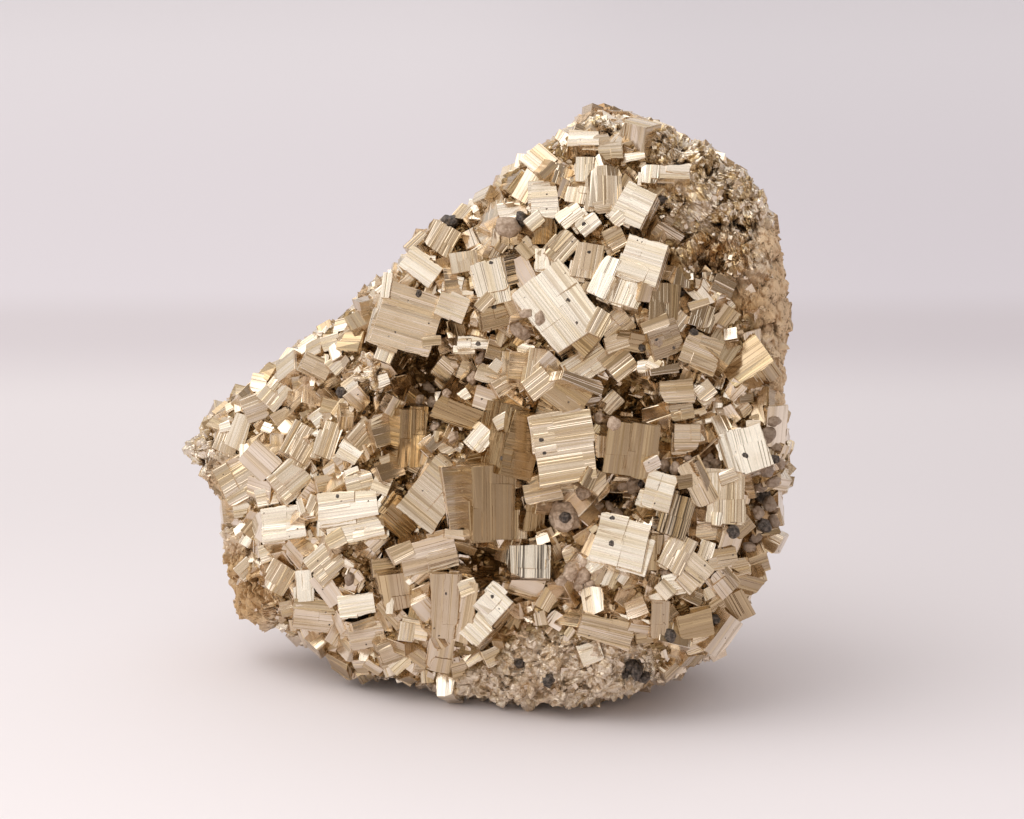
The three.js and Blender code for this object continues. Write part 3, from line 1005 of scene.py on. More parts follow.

# %% [markdown]
# ## The large crystals
# These are the crystals of the imported solid, in the same places, and some are turned a little further so
# that they catch the light. A large pyrite crystal is seldom one block: growth leaves plates on its face
# and slabs beside it, all lined up with each other, so each gets a few of its own. The ruled lines are
# real steps in the mesh, because a stepped face breaks up what it mirrors as no bump can.

# %% Where the large crystals are
# Each row: x, y, length along the lines, width across them, depth, turn to the right, tip upwards, roll, how
# proud it stands, and its tone: 0 is bright, 1 is brown, and past 1.15 its lines are all dark. The tone is
# partly
# tarnish and partly painted light: crystals that catch the window are given paler tones, those turned away
# browner ones.
CRYSTALS = [
    # the crown
    (7.1, 27.6, 3.4, 4.8, 5, -5, 10, 3, 2.6, 0.35), (11.3, 28.3, 2.2, 2.6, 4, -12, 14, 80, 2.2, 0.4),
    (15.0, 29.4, 5.2, 4.2, 6, 4, 8, 90, 2.8, 0.35), (12.4, 31.6, 3.2, 2.4, 4, -5, 10, 88, 2.0, 0.35),
    (9.6, 30.6, 3.0, 2.6, 4, 24, 20, 65, 1.6, 0.75), (12.2, 35.6, 4.0, 2.4, 5, -4, 34, 0, 1.8, 0.1),
    (15.8, 34.0, 3.0, 2.4, 4, 4, 24, 4, 1.8, 0.5), (18.7, 26.9, 4.4, 5.0, 6, -9, 12, -26, 3.6, 0.1),
    (20.9, 31.0, 2.6, 2.2, 4, -6, 18, 85, 2.0, 0.1), (24.0, 31.2, 4.0, 2.0, 4, 0, 30, -3, 1.8, 0.4),
    (10.6, 25.6, 3.4, 2.4, 4, -12, 16, 38, 2.4, 0.1), (12.9, 24.5, 3.0, 2.2, 4, -5, 8, 38, 2.6, 0.4),
    (7.4, 23.5, 3.6, 3.2, 5, 26, -10, 90, 1.6, 1.04), (9.5, 21.4, 4.2, 2.8, 5, 4, 10, 48, 2.4, 0.4),
    (16.4, 22.6, 2.6, 2.8, 4, 7, 2, 28, 2.2, 0.5),
    # the upper middle
    (19.9, 19.8, 5.4, 5.4, 7, -9, 13, -18, 4.6, 0.1), (15.1, 17.7, 5.6, 2.4, 6, -12, 15, 68, 4.4, 0.1),
    (17.7, 15.5, 3.2, 4.6, 5, -8, 15, 70, 4.6, 0.1), (12.8, 19.6, 4.4, 3.5, 5, 7, 2, 80, 3.0, 0.5),
    (9.0, 13.7, 9.8, 7.4, 8, -10, 12, -52, 4.8, 0.1), (7.2, 19.9, 2.6, 2.2, 4, -9, 12, 90, 3.0, 0.1),
    (22.8, 14.3, 4.8, 4.0, 6, 14, 4, 88, 3.4, 0.7), (22.9, 9.6, 4.2, 4.6, 6, 16, -8, 20, 3.4, 0.8),
    (16.5, 11.2, 4.0, 3.4, 5, 8, 6, 38, 2.8, 0.5), (18.8, 9.1, 4.6, 2.4, 5, 10, -16, -10, 2.8, 0.95),
    (16.9, 6.6, 3.6, 4.2, 5, 8, 6, 38, 3.2, 0.5), (12.9, 6.3, 5.6, 3.4, 5, 2, 10, 34, 3.4, 0.3),
    (27.6, 8.0, 4.6, 4.2, 5, 8, 4, -22, 3.0, 0.5), (27.7, 12.6, 3.2, 3.0, 5, 22, 4, 70, 2.4, 0.5),
    (21.0, 6.0, 3.4, 1.6, 4, -10, 12, 4, 3.2, 0.1),
    # the upper left
    (0.4, 16.8, 5.8, 4.2, 6, -10, 10, -75, 3.6, 0.1), (-2.9, 19.6, 2.6, 4.4, 5, 4, 8, 100, 2.0, 0.5),
    (0.8, 12.3, 3.4, 2.8, 5, 14, -14, 15, 2.6, 0.95), (3.5, 18.6, 2.8, 3.6, 5, 20, -2, 14, 2.2, 1.6),
    (-10.6, 12.0, 7.8, 8.0, 8, 7, 2, -17, 3.6, 0.45), (-4.9, 13.6, 3.8, 3.0, 5, 0, 5, -20, 2.6, 0.3),
    (-9.0, 18.8, 5.0, 3.0, 5, -9, 13, -35, 2.6, 0.1), (-6.2, 22.5, 3.8, 3.8, 5, 5, 6, 60, 1.8, 0.5),
    (-2.1, 9.1, 4.2, 1.8, 5, -9, 12, 0, 3.4, 0.1), (4.9, 21.2, 2.4, 2.2, 4, 2, 6, -50, 2.6, 0.4),
    # the vug and its walls
    (-5.6, 5.2, 3.4, 3.0, 5, 9, 4, -40, 1.6, 0.5), (-0.1, 5.0, 3.0, 2.2, 5, 3, 6, -15, 1.6, 0.4),
    (-3.8, -0.4, 7.0, 3.4, 6, -14, -22, -25, 2.2, 1.03),
    (-10.0, -3.4, 7.4, 3.8, 7, 28, -6, 90, 2.4, 1.04), (2.1, 3.6, 3.2, 2.2, 4, 12, 4, 30, 1.6, 0.65),
    (-1.1, -3.4, 3.2, 2.8, 5, -12, 12, 50, 2.6, 0.3), (6.5, 6.0, 4.4, 3.0, 5, 8, 6, 80, 2.0, 0.5),
    # the centre
    (9.6, 2.5, 6.4, 3.8, 6, 4, 4, -35, 3.2, 0.7), (9.9, -4.6, 7.4, 8.8, 8, -1, 4, 9, 4.6, 0.4),
    (4.2, -4.2, 4.6, 8.4, 7, 27, -5, -12, 3.8, 1.07), (18.6, -4.9, 6.6, 6.6, 7, 10, -8, 84, 4.0, 0.85),
    (25.8, -3.4, 3.2, 3.6, 5, 6, -4, 0, 3.0, 0.55), (24.4, 2.7, 4.2, 2.8, 5, 6, 4, 4, 2.6, 0.55),
    (28.1, 2.7, 2.4, 2.2, 4, 0, 4, 40, 2.2, 0.3), (25.1, 0.0, 3.0, 2.0, 4, 8, 10, 10, 2.2, 0.5),
    (0.6, -11.8, 9.4, 5.6, 8, 18, -6, 92, 4.4, 0.95), (-7.3, -10.8, 5.6, 8.4, 7, -16, 2, -38, 3.6, 0.55),
    (-4.0, -11.0, 3.2, 8.0, 6, 17, -4, 8, 3.2, 0.7), (-11.6, -13.8, 4.8, 4.0, 6, 24, -8, -38, 2.0, 1.0),
    (-7.9, -18.6, 7.2, 4.4, 6, 8, -10, 14, 3.0, 0.55), (7.0, -10.4, 5.0, 2.6, 5, 9, 8, 12, 2.0, 0.65),
    (6.0, -13.5, 3.8, 2.8, 5, 26, -10, 88, 1.6, 1.08), (5.2, -19.4, 4.0, 5.4, 6, -9, 12, 90, 3.0, 1.4),
    # the right
    (33.1, -4.9, 5.6, 5.8, 6, -9, 12, -74, 3.4, 0.1), (30.8, -11.1, 6.4, 4.8, 6, 2, 8, 88, 3.2, 0.1),
    (22.0, -10.2, 3.8, 4.6, 6, -6, 9, -17, 3.4, 0.3), (24.3, -13.4, 5.4, 4.0, 6, 10, 0, 74, 3.2, 1.4),
    (27.2, -9.2, 6.0, 3.2, 5, 5, 4, -63, 2.8, 0.4), (24.5, -18.2, 4.8, 3.4, 5, 0, 7, 62, 2.8, 0.35),
    (17.2, -16.9, 6.6, 6.2, 7, -9, 12, -14, 4.2, 0.1), (21.8, -18.2, 4.6, 2.2, 5, 24, -6, 90, 2.6, 0.95),
    (26.9, -20.5, 3.6, 3.2, 5, 0, 8, -40, 2.4, 0.4), (30.3, -18.9, 3.8, 2.4, 4, 10, 4, 8, 2.2, 0.5),
    (30.6, -22.0, 3.4, 3.2, 4, 14, -6, -50, 1.8, 0.5), (24.2, -22.0, 3.2, 2.2, 4, -9, 14, 10, 2.6, 0.0),
    (26.8, -27.6, 4.4, 3.2, 5, 8, -8, 12, 1.8, 0.95), (27.4, -30.0, 4.0, 2.2, 4, 4, -16, 20, 1.2, 0.6),
    (32.6, -20.2, 2.8, 2.2, 4, 6, 4, 5, 1.4, 0.4),
    # the foot
    (15.2, -28.4, 6.6, 3.2, 5, 4, -4, -14, 1.4, 0.55), (22.2, -27.0, 4.6, 2.4, 5, 10, -6, 88, 1.6, 0.85),
    (0.4, -25.0, 3.6, 3.8, 5, -10, 12, -42, 2.8, 0.1), (-1.5, -28.2, 3.2, 3.4, 5, -9, 14, -42, 2.8, 0.0),
    (-5.8, -25.2, 8.2, 3.4, 6, 6, -8, 87, 2.6, 0.75), (-3.2, -26.0, 8.0, 2.4, 6, -22, -6, 76, 2.2, 0.5),
    (-11.6, -23.3, 4.8, 4.4, 6, 12, -12, 100, 2.2, 0.95),
    (-9.6, -28.2, 3.4, 2.4, 5, -3, 5, -10, 1.8, 0.55), (-6.5, -31.5, 4.6, 3.4, 5, 4, -18, 80, 1.4, 0.5),
    (-12.6, -31.0, 3.6, 3.2, 5, 14, -8, 20, 1.4, 0.8),
    # the left
    (-18.4, -12.2, 7.8, 3.8, 6, -9, 12, 7, 3.6, 0.1), (-17.5, -15.1, 7.6, 3.2, 6, -9, 12, 12, 3.8, 0.1),
    (-18.2, -5.3, 3.2, 2.4, 5, -10, 14, -30, 2.6, 0.1), (-16.4, -3.0, 3.8, 3.2, 5, 10, 4, 48, 2.0, 0.5),
    (-20.9, -3.6, 4.8, 2.4, 5, 4, 6, 72, 2.0, 0.4), (-17.0, -8.9, 3.6, 2.8, 5, 0, 8, 15, 2.2, 0.4),
    (-14.0, -9.4, 2.4, 2.2, 4, -10, 14, -20, 2.4, 0.1), (-26.0, -8.6, 4.6, 4.0, 5, 4, 8, 40, 1.8, 0.5),
    (-24.6, -4.0, 4.6, 4.0, 5, 10, 8, 60, 1.6, 0.5), (-26.8, -14.4, 5.8, 4.4, 6, -10, 12, 8, 2.8, 0.1),
    (-21.4, -19.4, 4.2, 4.0, 5, 2, 6, 40, 2.4, 0.3), (-24.2, -22.6, 4.2, 2.4, 5, -8, 10, 95, 2.0, 0.1),
    (-27.4, -21.6, 3.8, 3.2, 5, 6, 2, 60, 1.6, 0.5), (-17.2, -25.1, 4.8, 2.8, 5, -9, 12, 10, 2.6, 0.1),
    (-22.6, -26.8, 5.6, 3.4, 5, 6, -12, -6, 1.6, 0.5), (-16.0, -29.0, 4.4, 3.6, 5, 4, -16, 10, 1.6, 0.5),
    (-32.8, -8.8, 5.4, 5.6, 5, -14, 2, 30, 1.2, 0.5), (-22.6, 6.0, 3.8, 2.6, 4, 8, 4, -25, 1.6, 0.6),
    (-28.0, 2.4, 3.6, 3.2, 4, -2, 6, 50, 1.4, 0.4), (-34.2, -3.6, 3.6, 3.2, 4, 4, 2, 70, 1.2, 0.5),
]
print("large crystals:", len(CRYSTALS))

# %% Wear
OUT_OF_SQUARE = 0.07
CHIPS = 2
CHIP_WAY = ((0.6, 0.6, 0.25), (1.2, 1.2, 0.9))
CHIP_DEPTH = (0.06, 0.22)


def worn(rng, local, halves):
    """A block a little out of square, with some of its front corners knocked off."""
    lean = rng.uniform(-OUT_OF_SQUARE, OUT_OF_SQUARE, 2) / halves[:2]
    local = local.copy()
    local[:, :2] *= 1 + local[:, 1::-1] * lean
    for _ in range(rng.integers(0, CHIPS + 1)):
        corner = np.array([rng.choice([-1, 1]), rng.choice([-1, 1]), 1])
        way = corner * rng.uniform(*CHIP_WAY)
        way /= np.linalg.norm(way)
        depth = rng.uniform(*CHIP_DEPTH) * min(halves[:2]) * 2
        past = local @ way - ((halves * corner) @ way - depth)
        local -= np.maximum(past, 0)[:, None] * way
    return local


# %% A large crystal, with its plates and its slab
FLAT_VARIES = (0.7, 1.3)
TONE_STRAY = 0.1
# A face gets one plate, and one more for each of these areas that it is larger than.
MORE_PLATES_OVER = (16, 36)
PLATE_SHARE = (0.35, 0.8)
PLATE_RISE = (0.05, 0.22)
SLAB_SHARE = (0.5, 0.8)
SLAB_ASIDE = (0.15, 0.5)
SLAB_SUNK = (0.3, 1.0)
grown_blocks = []


def intergrown(rng, length, width, depth):
    """The blocks of one crystal, as their middles and half sizes: itself, its plates and its slab."""
    half_face = np.array([length, width]) / 2
    blocks = [((0, 0, -depth / 2), (length / 2, width / 2, depth / 2))]
    for _ in range(1 + sum(length * width > area for area in MORE_PLATES_OVER)):
        half = half_face * rng.uniform(*PLATE_SHARE, 2)
        side = rng.choice([-1, 1], 2) * (half_face - half)
        rise = rng.uniform(*PLATE_RISE)
        blocks.append(((*side, rise - depth / 3), (*half, depth / 3)))
    slab = half_face * rng.uniform(*SLAB_SHARE, 2)
    off = rng.choice([-1, 1], 2) * (half_face - slab + rng.uniform(*SLAB_ASIDE, 2))
    blocks.append(((*off, -depth / 2 - rng.uniform(*SLAB_SUNK)), (*slab, depth / 2)))
    return blocks


def large_crystal(pile, rng, row):
    x, y, length, width, depth, yaw, pitch, roll, proud, tarnish_and_painted_light = row
    turn = facing(yaw, pitch, roll)
    place = unsight(x, y, front_depth(np.array(x), np.array(y)) + proud)
    # The tone is partly tarnish and partly painted light, paler for crystals that catch the window.
    tone = tarnish_and_painted_light + rng.uniform(-TONE_STRAY, TONE_STRAY)
    for middle, halves in intergrown(rng, length, width, depth):
        local, faces, axes = ruled_crystal(rng, halves, FLAT * rng.uniform(*FLAT_VARIES))
        local = worn(rng, local, np.array(halves))
        pile.add(local + np.array(middle), faces, axes, turn, place, tone)
        grown_blocks.append((place + turn @ np.array(middle), turn, np.array(halves)))


# %% Grow the large crystals
rng = np.random.default_rng(11)
large = Pile()
for row in CRYSTALS:
    large_crystal(large, rng, row)
large.make("large_crystals", CRYSTAL_PYRITE)

# %% [markdown]
# ## The crystals of middling size
# Round the large crystals stand others of a few millimetres. These are listed one by one as well, each on
# whatever is already there where it is sighted, and each leaning one of a few ways: it is the lean that
# decides whether a face catches the window, the warm room in front, or the dim side to its right.

# %% What a line of sight meets
EYE = Vector((0, 0, SIGHT))


def sight_tree(*piles):
    """What can be seen of the matrix and of some piles, to be met by lines of sight."""
    points = [skin_rough]
    polygons = list(skin_faces)
    start = len(skin_rough)
    for pile in piles:
        points.append(np.concatenate(pile.points))
        polygons.extend([[i + start for i in face] for face in pile.faces])
        start += pile.count
    return BVHTree.FromPolygons(np.concatenate(points).tolist(), polygons)


def met(tree, x, y):
    """The point that is sighted at x, y, and which way the surface faces there."""
    spot, normal, _, _ = tree.ray_cast(EYE, (Vector((x, y, 0)) - EYE).normalized())
    return (np.array(spot), np.array(normal)) if spot else (None, None)


sight = sight_tree(large)
print("sighted in the middle, mm:", met(sight, 0, 0)[0].round(2))

# %% Where the middling crystals are
# Each lean is a turn to the right and a tip upwards, named for how the face comes out. Each row: x, y,
# length along the lines, width across them, roll, lean.
LEANS = {
    "bright": (-9, 13), "pale": (-4, 8), "mid": (6, 5), "brown": (18, -8), "grey": (26, 2), "gold": (8, -22),
}
MIDDLING = [
    # the crown
    (14.5, 35.0, 2.2, 2.0, 5, "mid"), (9.9, 29.0, 2.4, 2.0, 70, "brown"),
    (8.0, 31.0, 2.6, 2.2, 45, "brown"), (18.5, 33.0, 3.5, 1.0, 10, "bright"),
    (17.6, 34.2, 2.6, 1.6, 20, "gold"), (5.6, 30.6, 2.8, 2.4, 20, "pale"),
    (18.0, 30.2, 2.6, 1.6, 60, "mid"), (21.6, 28.6, 2.4, 2.0, 40, "brown"),
    (16.8, 25.0, 1.8, 1.6, 40, "pale"), (6.0, 24.8, 2.2, 1.8, 30, "pale"),
    (14.6, 26.6, 2.0, 1.6, 10, "mid"),
    # the upper middle
    (18.5, 12.4, 2.6, 0.9, 90, "bright"), (20.1, 12.6, 2.4, 2.0, 20, "gold"),
    (21.6, 11.4, 3.6, 1.6, 20, "mid"), (27.2, 14.0, 2.6, 1.0, 20, "mid"),
    (31.3, 14.0, 2.0, 2.0, 40, "pale"), (19.2, 5.3, 3.0, 1.2, 10, "bright"),
    (21.4, 6.2, 1.8, 1.6, -20, "bright"), (22.7, 5.4, 4.0, 1.0, 8, "grey"),
    (11.9, 3.9, 6.0, 1.6, -25, "grey"), (6.4, 3.7, 3.4, 3.0, 40, "mid"),
    (25.6, 4.4, 2.0, 2.0, 70, "grey"), (28.8, 1.2, 1.8, 1.4, 75, "brown"),
    (20.9, 3.1, 1.6, 1.4, 75, "mid"), (22.4, 0.2, 3.2, 0.9, -5, "mid"), (27.2, -0.4, 2.2, 1.6, 20, "mid"),
    (27.8, -1.3, 2.6, 0.7, 15, "bright"), (14.4, 11.6, 3.2, 2.4, 60, "mid"),
    (14.8, 13.2, 3.0, 1.4, 30, "gold"), (12.0, 9.4, 3.6, 2.6, -40, "mid"),
    (24.8, 11.8, 2.2, 1.8, 50, "brown"), (25.0, 17.4, 2.4, 2.2, 80, "grey"),
    (30.2, 10.0, 2.6, 2.0, -30, "brown"), (30.8, 5.6, 2.4, 1.8, 30, "mid"),
    (31.6, 2.6, 2.0, 1.8, 60, "pale"), (30.6, -0.4, 2.2, 2.0, 10, "brown"),
    (33.2, 0.4, 1.8, 1.6, 45, "mid"), (29.8, 3.6, 1.6, 1.4, 70, "bright"),
    (16.6, 9.0, 3.0, 2.0, 15, "mid"), (20.2, 15.6, 2.2, 1.6, 80, "brown"),
    (3.0, 14.2, 3.0, 2.2, -60, "mid"),
    # the upper left and the vug
    (-8.2, 20.8, 3.6, 3.0, -50, "brown"), (-2.8, 12.9, 3.4, 1.6, -72, "brown"),
    (-2.7, 15.3, 1.6, 0.7, 0, "bright"), (1.6, 9.7, 2.8, 1.4, 70, "mid"),
    (-2.9, 5.3, 2.6, 2.4, -20, "mid"), (-3.4, 2.0, 1.8, 1.4, 30, "bright"),
    (3.1, 1.3, 4.6, 0.8, -23, "bright"), (-7.0, 16.4, 3.0, 2.2, 60, "mid"),
    (-13.3, 16.4, 3.4, 1.2, 85, "bright"), (-15.4, 13.6, 3.0, 2.2, 20, "brown"),
    (-4.8, 16.6, 2.6, 2.2, -10, "pale"), (-17.8, 9.6, 3.2, 2.6, 35, "mid"),
    (-13.4, 8.0, 3.0, 2.4, 70, "pale"), (-20.6, 9.0, 2.6, 2.0, 15, "bright"),
    (3.4, 6.6, 2.6, 2.2, 15, "mid"), (-0.6, 14.2, 2.4, 1.6, 50, "mid"),
    (-5.6, 8.8, 2.6, 2.0, 30, "brown"), (-1.4, 2.2, 2.6, 1.6, -30, "gold"),
    (-7.6, 9.2, 2.4, 1.4, 10, "mid"), (1.0, 20.6, 2.2, 2.0, 60, "brown"),
    (-0.4, 23.4, 2.8, 2.4, 25, "mid"),
    # the centre
    (-3.5, -16.0, 4.5, 1.4, -5, "mid"), (3.6, -14.6, 3.6, 2.6, 92, "mid"),
    (12.7, -15.7, 3.4, 1.8, 42, "gold"), (8.0, -17.2, 4.6, 2.0, -57, "gold"),
    (-1.6, -6.2, 2.6, 2.4, 10, "gold"), (9.4, -9.6, 3.0, 1.6, 0, "mid"),
    (13.0, -8.6, 2.6, 2.0, 60, "brown"), (1.8, -1.2, 2.4, 1.8, 30, "pale"),
    (14.8, -4.4, 2.6, 1.6, 85, "brown"), (15.8, 1.2, 2.8, 2.0, 40, "mid"),
    (13.4, 1.4, 2.4, 1.6, 10, "brown"), (6.2, -8.6, 2.8, 2.2, 30, "mid"),
    (-8.0, -5.6, 2.8, 1.8, 70, "brown"), (-5.4, -4.6, 2.6, 2.0, 20, "mid"),
    (10.8, -18.4, 2.8, 2.4, 20, "mid"), (-3.6, -19.8, 2.8, 2.0, 75, "brown"),
    (2.4, -16.8, 2.2, 1.8, 10, "brown"), (13.6, -19.6, 2.4, 2.0, 40, "pale"),
    # the right
    (25.3, -9.0, 1.9, 1.7, 10, "brown"), (28.1, -8.9, 5.6, 0.9, -63, "grey"),
    (32.4, -20.2, 2.8, 2.0, 15, "mid"), (31.4, -17.0, 1.6, 1.2, -30, "bright"),
    (22.9, -23.1, 2.2, 1.8, -50, "pale"), (26.4, -24.7, 3.0, 1.8, 20, "mid"),
    (25.7, -22.0, 2.6, 2.0, -45, "mid"), (23.8, -26.0, 3.4, 0.9, -70, "pale"),
    (28.8, -24.8, 3.0, 2.4, 30, "brown"), (20.2, -13.2, 2.4, 2.0, 60, "mid"),
    (28.0, -15.4, 3.0, 2.4, 10, "mid"), (28.2, -18.0, 2.4, 1.8, 75, "pale"),
    (33.0, -14.8, 2.6, 2.2, 40, "brown"), (31.0, -8.4, 2.4, 1.8, 20, "mid"),
    (29.6, -13.8, 1.8, 1.4, 85, "bright"), (21.2, -6.6, 2.2, 1.6, 30, "brown"),
    (29.4, -27.4, 2.8, 2.0, 50, "mid"), (34.4, -9.6, 2.0, 1.6, 10, "brown"),
    # the foot
    (20.2, -28.7, 2.6, 2.4, 0, "brown"), (13.2, -31.3, 3.0, 2.6, 20, "pale"),
    (18.5, -27.0, 5.0, 0.9, -10, "bright"), (19.8, -25.0, 3.0, 2.0, -45, "mid"),
    (18.0, -22.2, 2.0, 1.5, 20, "mid"), (21.0, -23.0, 3.6, 1.8, 80, "brown"),
    (14.0, -24.5, 2.6, 2.0, -50, "gold"), (3.0, -23.0, 3.4, 1.3, -15, "brown"),
    (15.8, -21.6, 2.4, 1.8, 70, "pale"), (10.8, -25.2, 2.6, 2.2, 30, "brown"),
    (7.4, -24.4, 2.8, 2.0, 60, "mid"), (24.6, -30.6, 2.6, 2.0, 10, "gold"),
    (3.6, -27.4, 2.8, 2.4, 50, "mid"), (-2.8, -22.8, 2.4, 2.0, 15, "pale"),
    (-9.2, -25.4, 3.0, 2.2, 70, "mid"), (-3.6, -33.0, 3.0, 2.6, 15, "gold"),
    (-9.6, -32.4, 3.2, 2.4, 60, "brown"), (0.6, -31.6, 2.8, 2.2, 30, "mid"),
    # the left
    (-10.2, -21.6, 1.6, 1.3, 45, "bright"), (-12.9, -25.0, 2.4, 1.0, 90, "bright"),
    (-17.6, -1.6, 3.0, 0.9, 52, "bright"), (-20.5, 0.5, 3.0, 2.0, -20, "mid"),
    (-17.9, -7.7, 2.0, 0.8, 28, "bright"), (-20.6, -7.4, 1.4, 1.2, 20, "bright"),
    (-20.8, -9.0, 3.4, 2.0, 10, "mid"), (-14.2, -12.0, 2.6, 0.6, 62, "bright"),
    (-28.8, -5.2, 2.8, 0.9, -38, "bright"), (-22.0, -25.2, 7.0, 1.6, -5, "mid"),
    (-16.0, -27.3, 4.5, 1.3, 12, "grey"), (-24.2, 4.0, 3.0, 1.6, 10, "brown"),
    (-25.8, 8.0, 1.8, 1.4, 30, "bright"), (-27.9, 3.5, 1.6, 1.3, 60, "bright"),
    (-34.4, -2.0, 1.5, 1.3, 20, "bright"), (-29.8, -2.4, 1.6, 1.3, 50, "bright"),
    (-23.0, -8.5, 2.4, 1.0, 75, "pale"), (-23.6, -16.6, 3.0, 2.2, 60, "mid"),
    (-20.0, -16.6, 2.6, 2.2, 30, "pale"), (-14.6, -16.6, 3.0, 2.0, 45, "gold"),
    (-13.8, -20.2, 3.0, 2.4, 10, "mid"), (-17.6, -21.8, 2.8, 2.2, 70, "brown"),
    (-28.4, -18.2, 3.2, 2.6, 20, "pale"), (-30.6, -15.0, 3.0, 2.6, 50, "mid"),
    (-22.8, -12.2, 2.6, 2.0, 65, "mid"), (-29.0, -11.0, 3.0, 2.4, 15, "pale"),
    (-22.0, -0.6, 2.6, 2.0, 40, "pale"), (-26.6, -0.6, 3.2, 2.4, 25, "mid"),
    (-30.4, 0.8, 2.8, 2.0, 60, "brown"), (-19.6, 6.4, 2.8, 2.2, 45, "pale"),
    (-13.0, -6.4, 2.4, 1.8, 20, "mid"), (-12.4, 0.6, 2.4, 1.8, 60, "brown"),
    (-14.0, 4.0, 2.0, 1.6, 15, "pale"), (-11.4, -18.2, 3.0, 2.2, 25, "mid"),
    (-19.8, -28.8, 3.4, 2.6, 60, "brown"), (-25.8, -25.4, 3.0, 2.2, 15, "mid"),
    (-10.8, -28.6, 2.4, 2.0, 80, "mid"), (-31.8, -20.4, 2.6, 2.4, 40, "mid"),
    (-32.0, -12.6, 2.8, 2.2, 10, "pale"),
]
print("middling crystals:", len(MIDDLING))

# %% Grow the middling crystals
MIDDLING_DEPTH = 3.6
MIDDLING_PROUD = (0.2, 0.55)
MIDDLING_FLAT = (0.7, 1.2)
MIDDLING_LIMIT = 0.07
LEAN_STRAY = 2.2
ROLL_STRAY = 3
# Tones for crystals that lean to catch the window, and for the rest: paler and browner, painted light on top
# of their tarnish.
WINDOW_LIT_TONES = (0, 0.6)
AWAY_FROM_WINDOW_TONES = (0.2, 0.9)

rng = np.random.default_rng(17)
middling = Pile()
for x, y, length, width, roll, lean in MIDDLING:
    yaw, pitch = np.array(LEANS[lean]) + rng.normal(0, LEAN_STRAY, 2)
    turn = facing(yaw, pitch, roll + rng.normal(0, ROLL_STRAY))
    place, _ = met(sight, x, y)
    if place is None:
        continue
    halves = np.array([length, width, MIDDLING_DEPTH]) / 2
    place = place + turn[:, 2] * (rng.uniform(*MIDDLING_PROUD) - halves[2])
    # Painted light: a crystal that leans to catch the window is given a paler tone, the others a browner
    # one.
    tone = rng.uniform(*(WINDOW_LIT_TONES if lean in ("bright", "pale") else AWAY_FROM_WINDOW_TONES))
    flat = FLAT * rng.uniform(*MIDDLING_FLAT)
    local, faces, axes = ruled_crystal(rng, halves, flat, MIDDLING_LIMIT)
    middling.add(worn(rng, local, halves), faces, axes, turn, place, tone)
    grown_blocks.append((place, turn, halves))
middling.make("middling_crystals", CRYSTAL_PYRITE)

# %% [markdown]
# ## The small crystals
# What is left between them is filled with cubes of one to four millimetres at every angle. There are far
# too many to set by hand, so places are strewn over the matrix from a fixed seed and the larger crystals
# take theirs first, each clear of its neighbours' middles. They thin out on the sides and the back, and
# none is put inside a larger one.

# %% Strewing places over the matrix
HOLLOWS = [
    (-7.5, 4.8, 3.2), (15.5, -10.0, 2.2), (17.2, 1.8, 2.2), (0.0, -19.2, 2.4), (-6.2, 10.4, 1.2),
    (-19.5, 3.0, 1.2), (-13.6, -17.0, 1.6), (30.5, -25.5, 1.4), (34.4, -11.2, 1.2), (-3.4, 22.6, 2.2),
]
quads = four_sided(skin_faces)
quad_area = 0.5 * np.linalg.norm(outward_area(skin_rough, quads), axis=1)


def strewn(rng, count):
    """Places on the matrix, evenly by area, and which way it faces there."""
    pick = rng.choice(len(quads), count, p=quad_area / quad_area.sum())
    share = rng.dirichlet(np.ones(4), count)[..., None]
    return (skin_rough[quads[pick]] * share).sum(1), (skin_normals[quads[pick]] * share).sum(1)


def in_grown(points, margin):
    """Whether each point is inside one of the crystals set so far."""
    inside = np.zeros(len(points), bool)
    for place, turn, halves in grown_blocks:
        inside |= (np.abs((points - place) @ turn) < halves - margin).all(1)
    return inside


def in_hollow(points):
    return spread(HOLLOWS, points, 1) > 0


print("area of the matrix, mm2:", round(quad_area.sum()))


# %% Turning and spacing
CLEAR = 0.37


def turned_towards(rng, normals, stray):
    """Turns that set a cube's face along each normal, give or take `stray`, and at any roll."""
    aim = normals + stray * rng.normal(size=normals.shape)
    aim /= np.linalg.norm(aim, axis=1)[:, None]
    side = np.cross(rng.normal(size=aim.shape), aim)
    side /= np.linalg.norm(side, axis=1)[:, None]
    return np.stack([side, np.cross(aim, side), aim], -1)


def spaced(points, sizes):
    """Which points to keep so that crystals of these sizes stand clear of each other's middles."""
    kept = []
    for i in range(len(points)):
        near = np.linalg.norm(points[kept] - points[i], axis=1) if kept else np.array([np.inf])
        if (near > CLEAR * (sizes[kept] + sizes[i])).all():
            kept.append(i)
    return np.array(kept)


# %% Where the small crystals are
# What share of the strewn places gets a crystal on each part of the matrix.
STREWN = 9000
ON_FRONT, ON_BARE, IN_HOLLOW, IN_CLUMP, ON_BACK = 1.0, 0.0, 0.12, 0.55, 0.05
CLUMP_SIZE, CLUMP_OVER = 9, 0.08
BARE_OVER = 0.15
KEPT_OFF = 0.25

rng = np.random.default_rng(23)
points, normals = strewn(rng, STREWN)
clump = np.where(patches(points, CLUMP_SIZE) > CLUMP_OVER, IN_CLUMP, ON_BACK)
share = ON_FRONT + behind(points) * (clump - ON_FRONT)
share = np.where(in_hollow(points), IN_HOLLOW, share)
share = np.where(granular(points) > BARE_OVER, ON_BARE, share)
taken = (rng.uniform(size=len(points)) < share) & ~in_grown(points, KEPT_OFF)
points, normals = points[taken], normals[taken]
print("places for small crystals:", len(points))

# %% Their sizes
# Most are near the middle size. Those that face sideways, at the edge of what is seen, stay small.
SIZE_MIDDLE, SIZE_VARIES = 0.66, 0.38
SIZE_LEAST, SIZE_MOST = 0.8, 4.0
EDGE_FACING, EDGE_SIZE, EDGE_GROWTH = 0.15, 1.6, 4.5

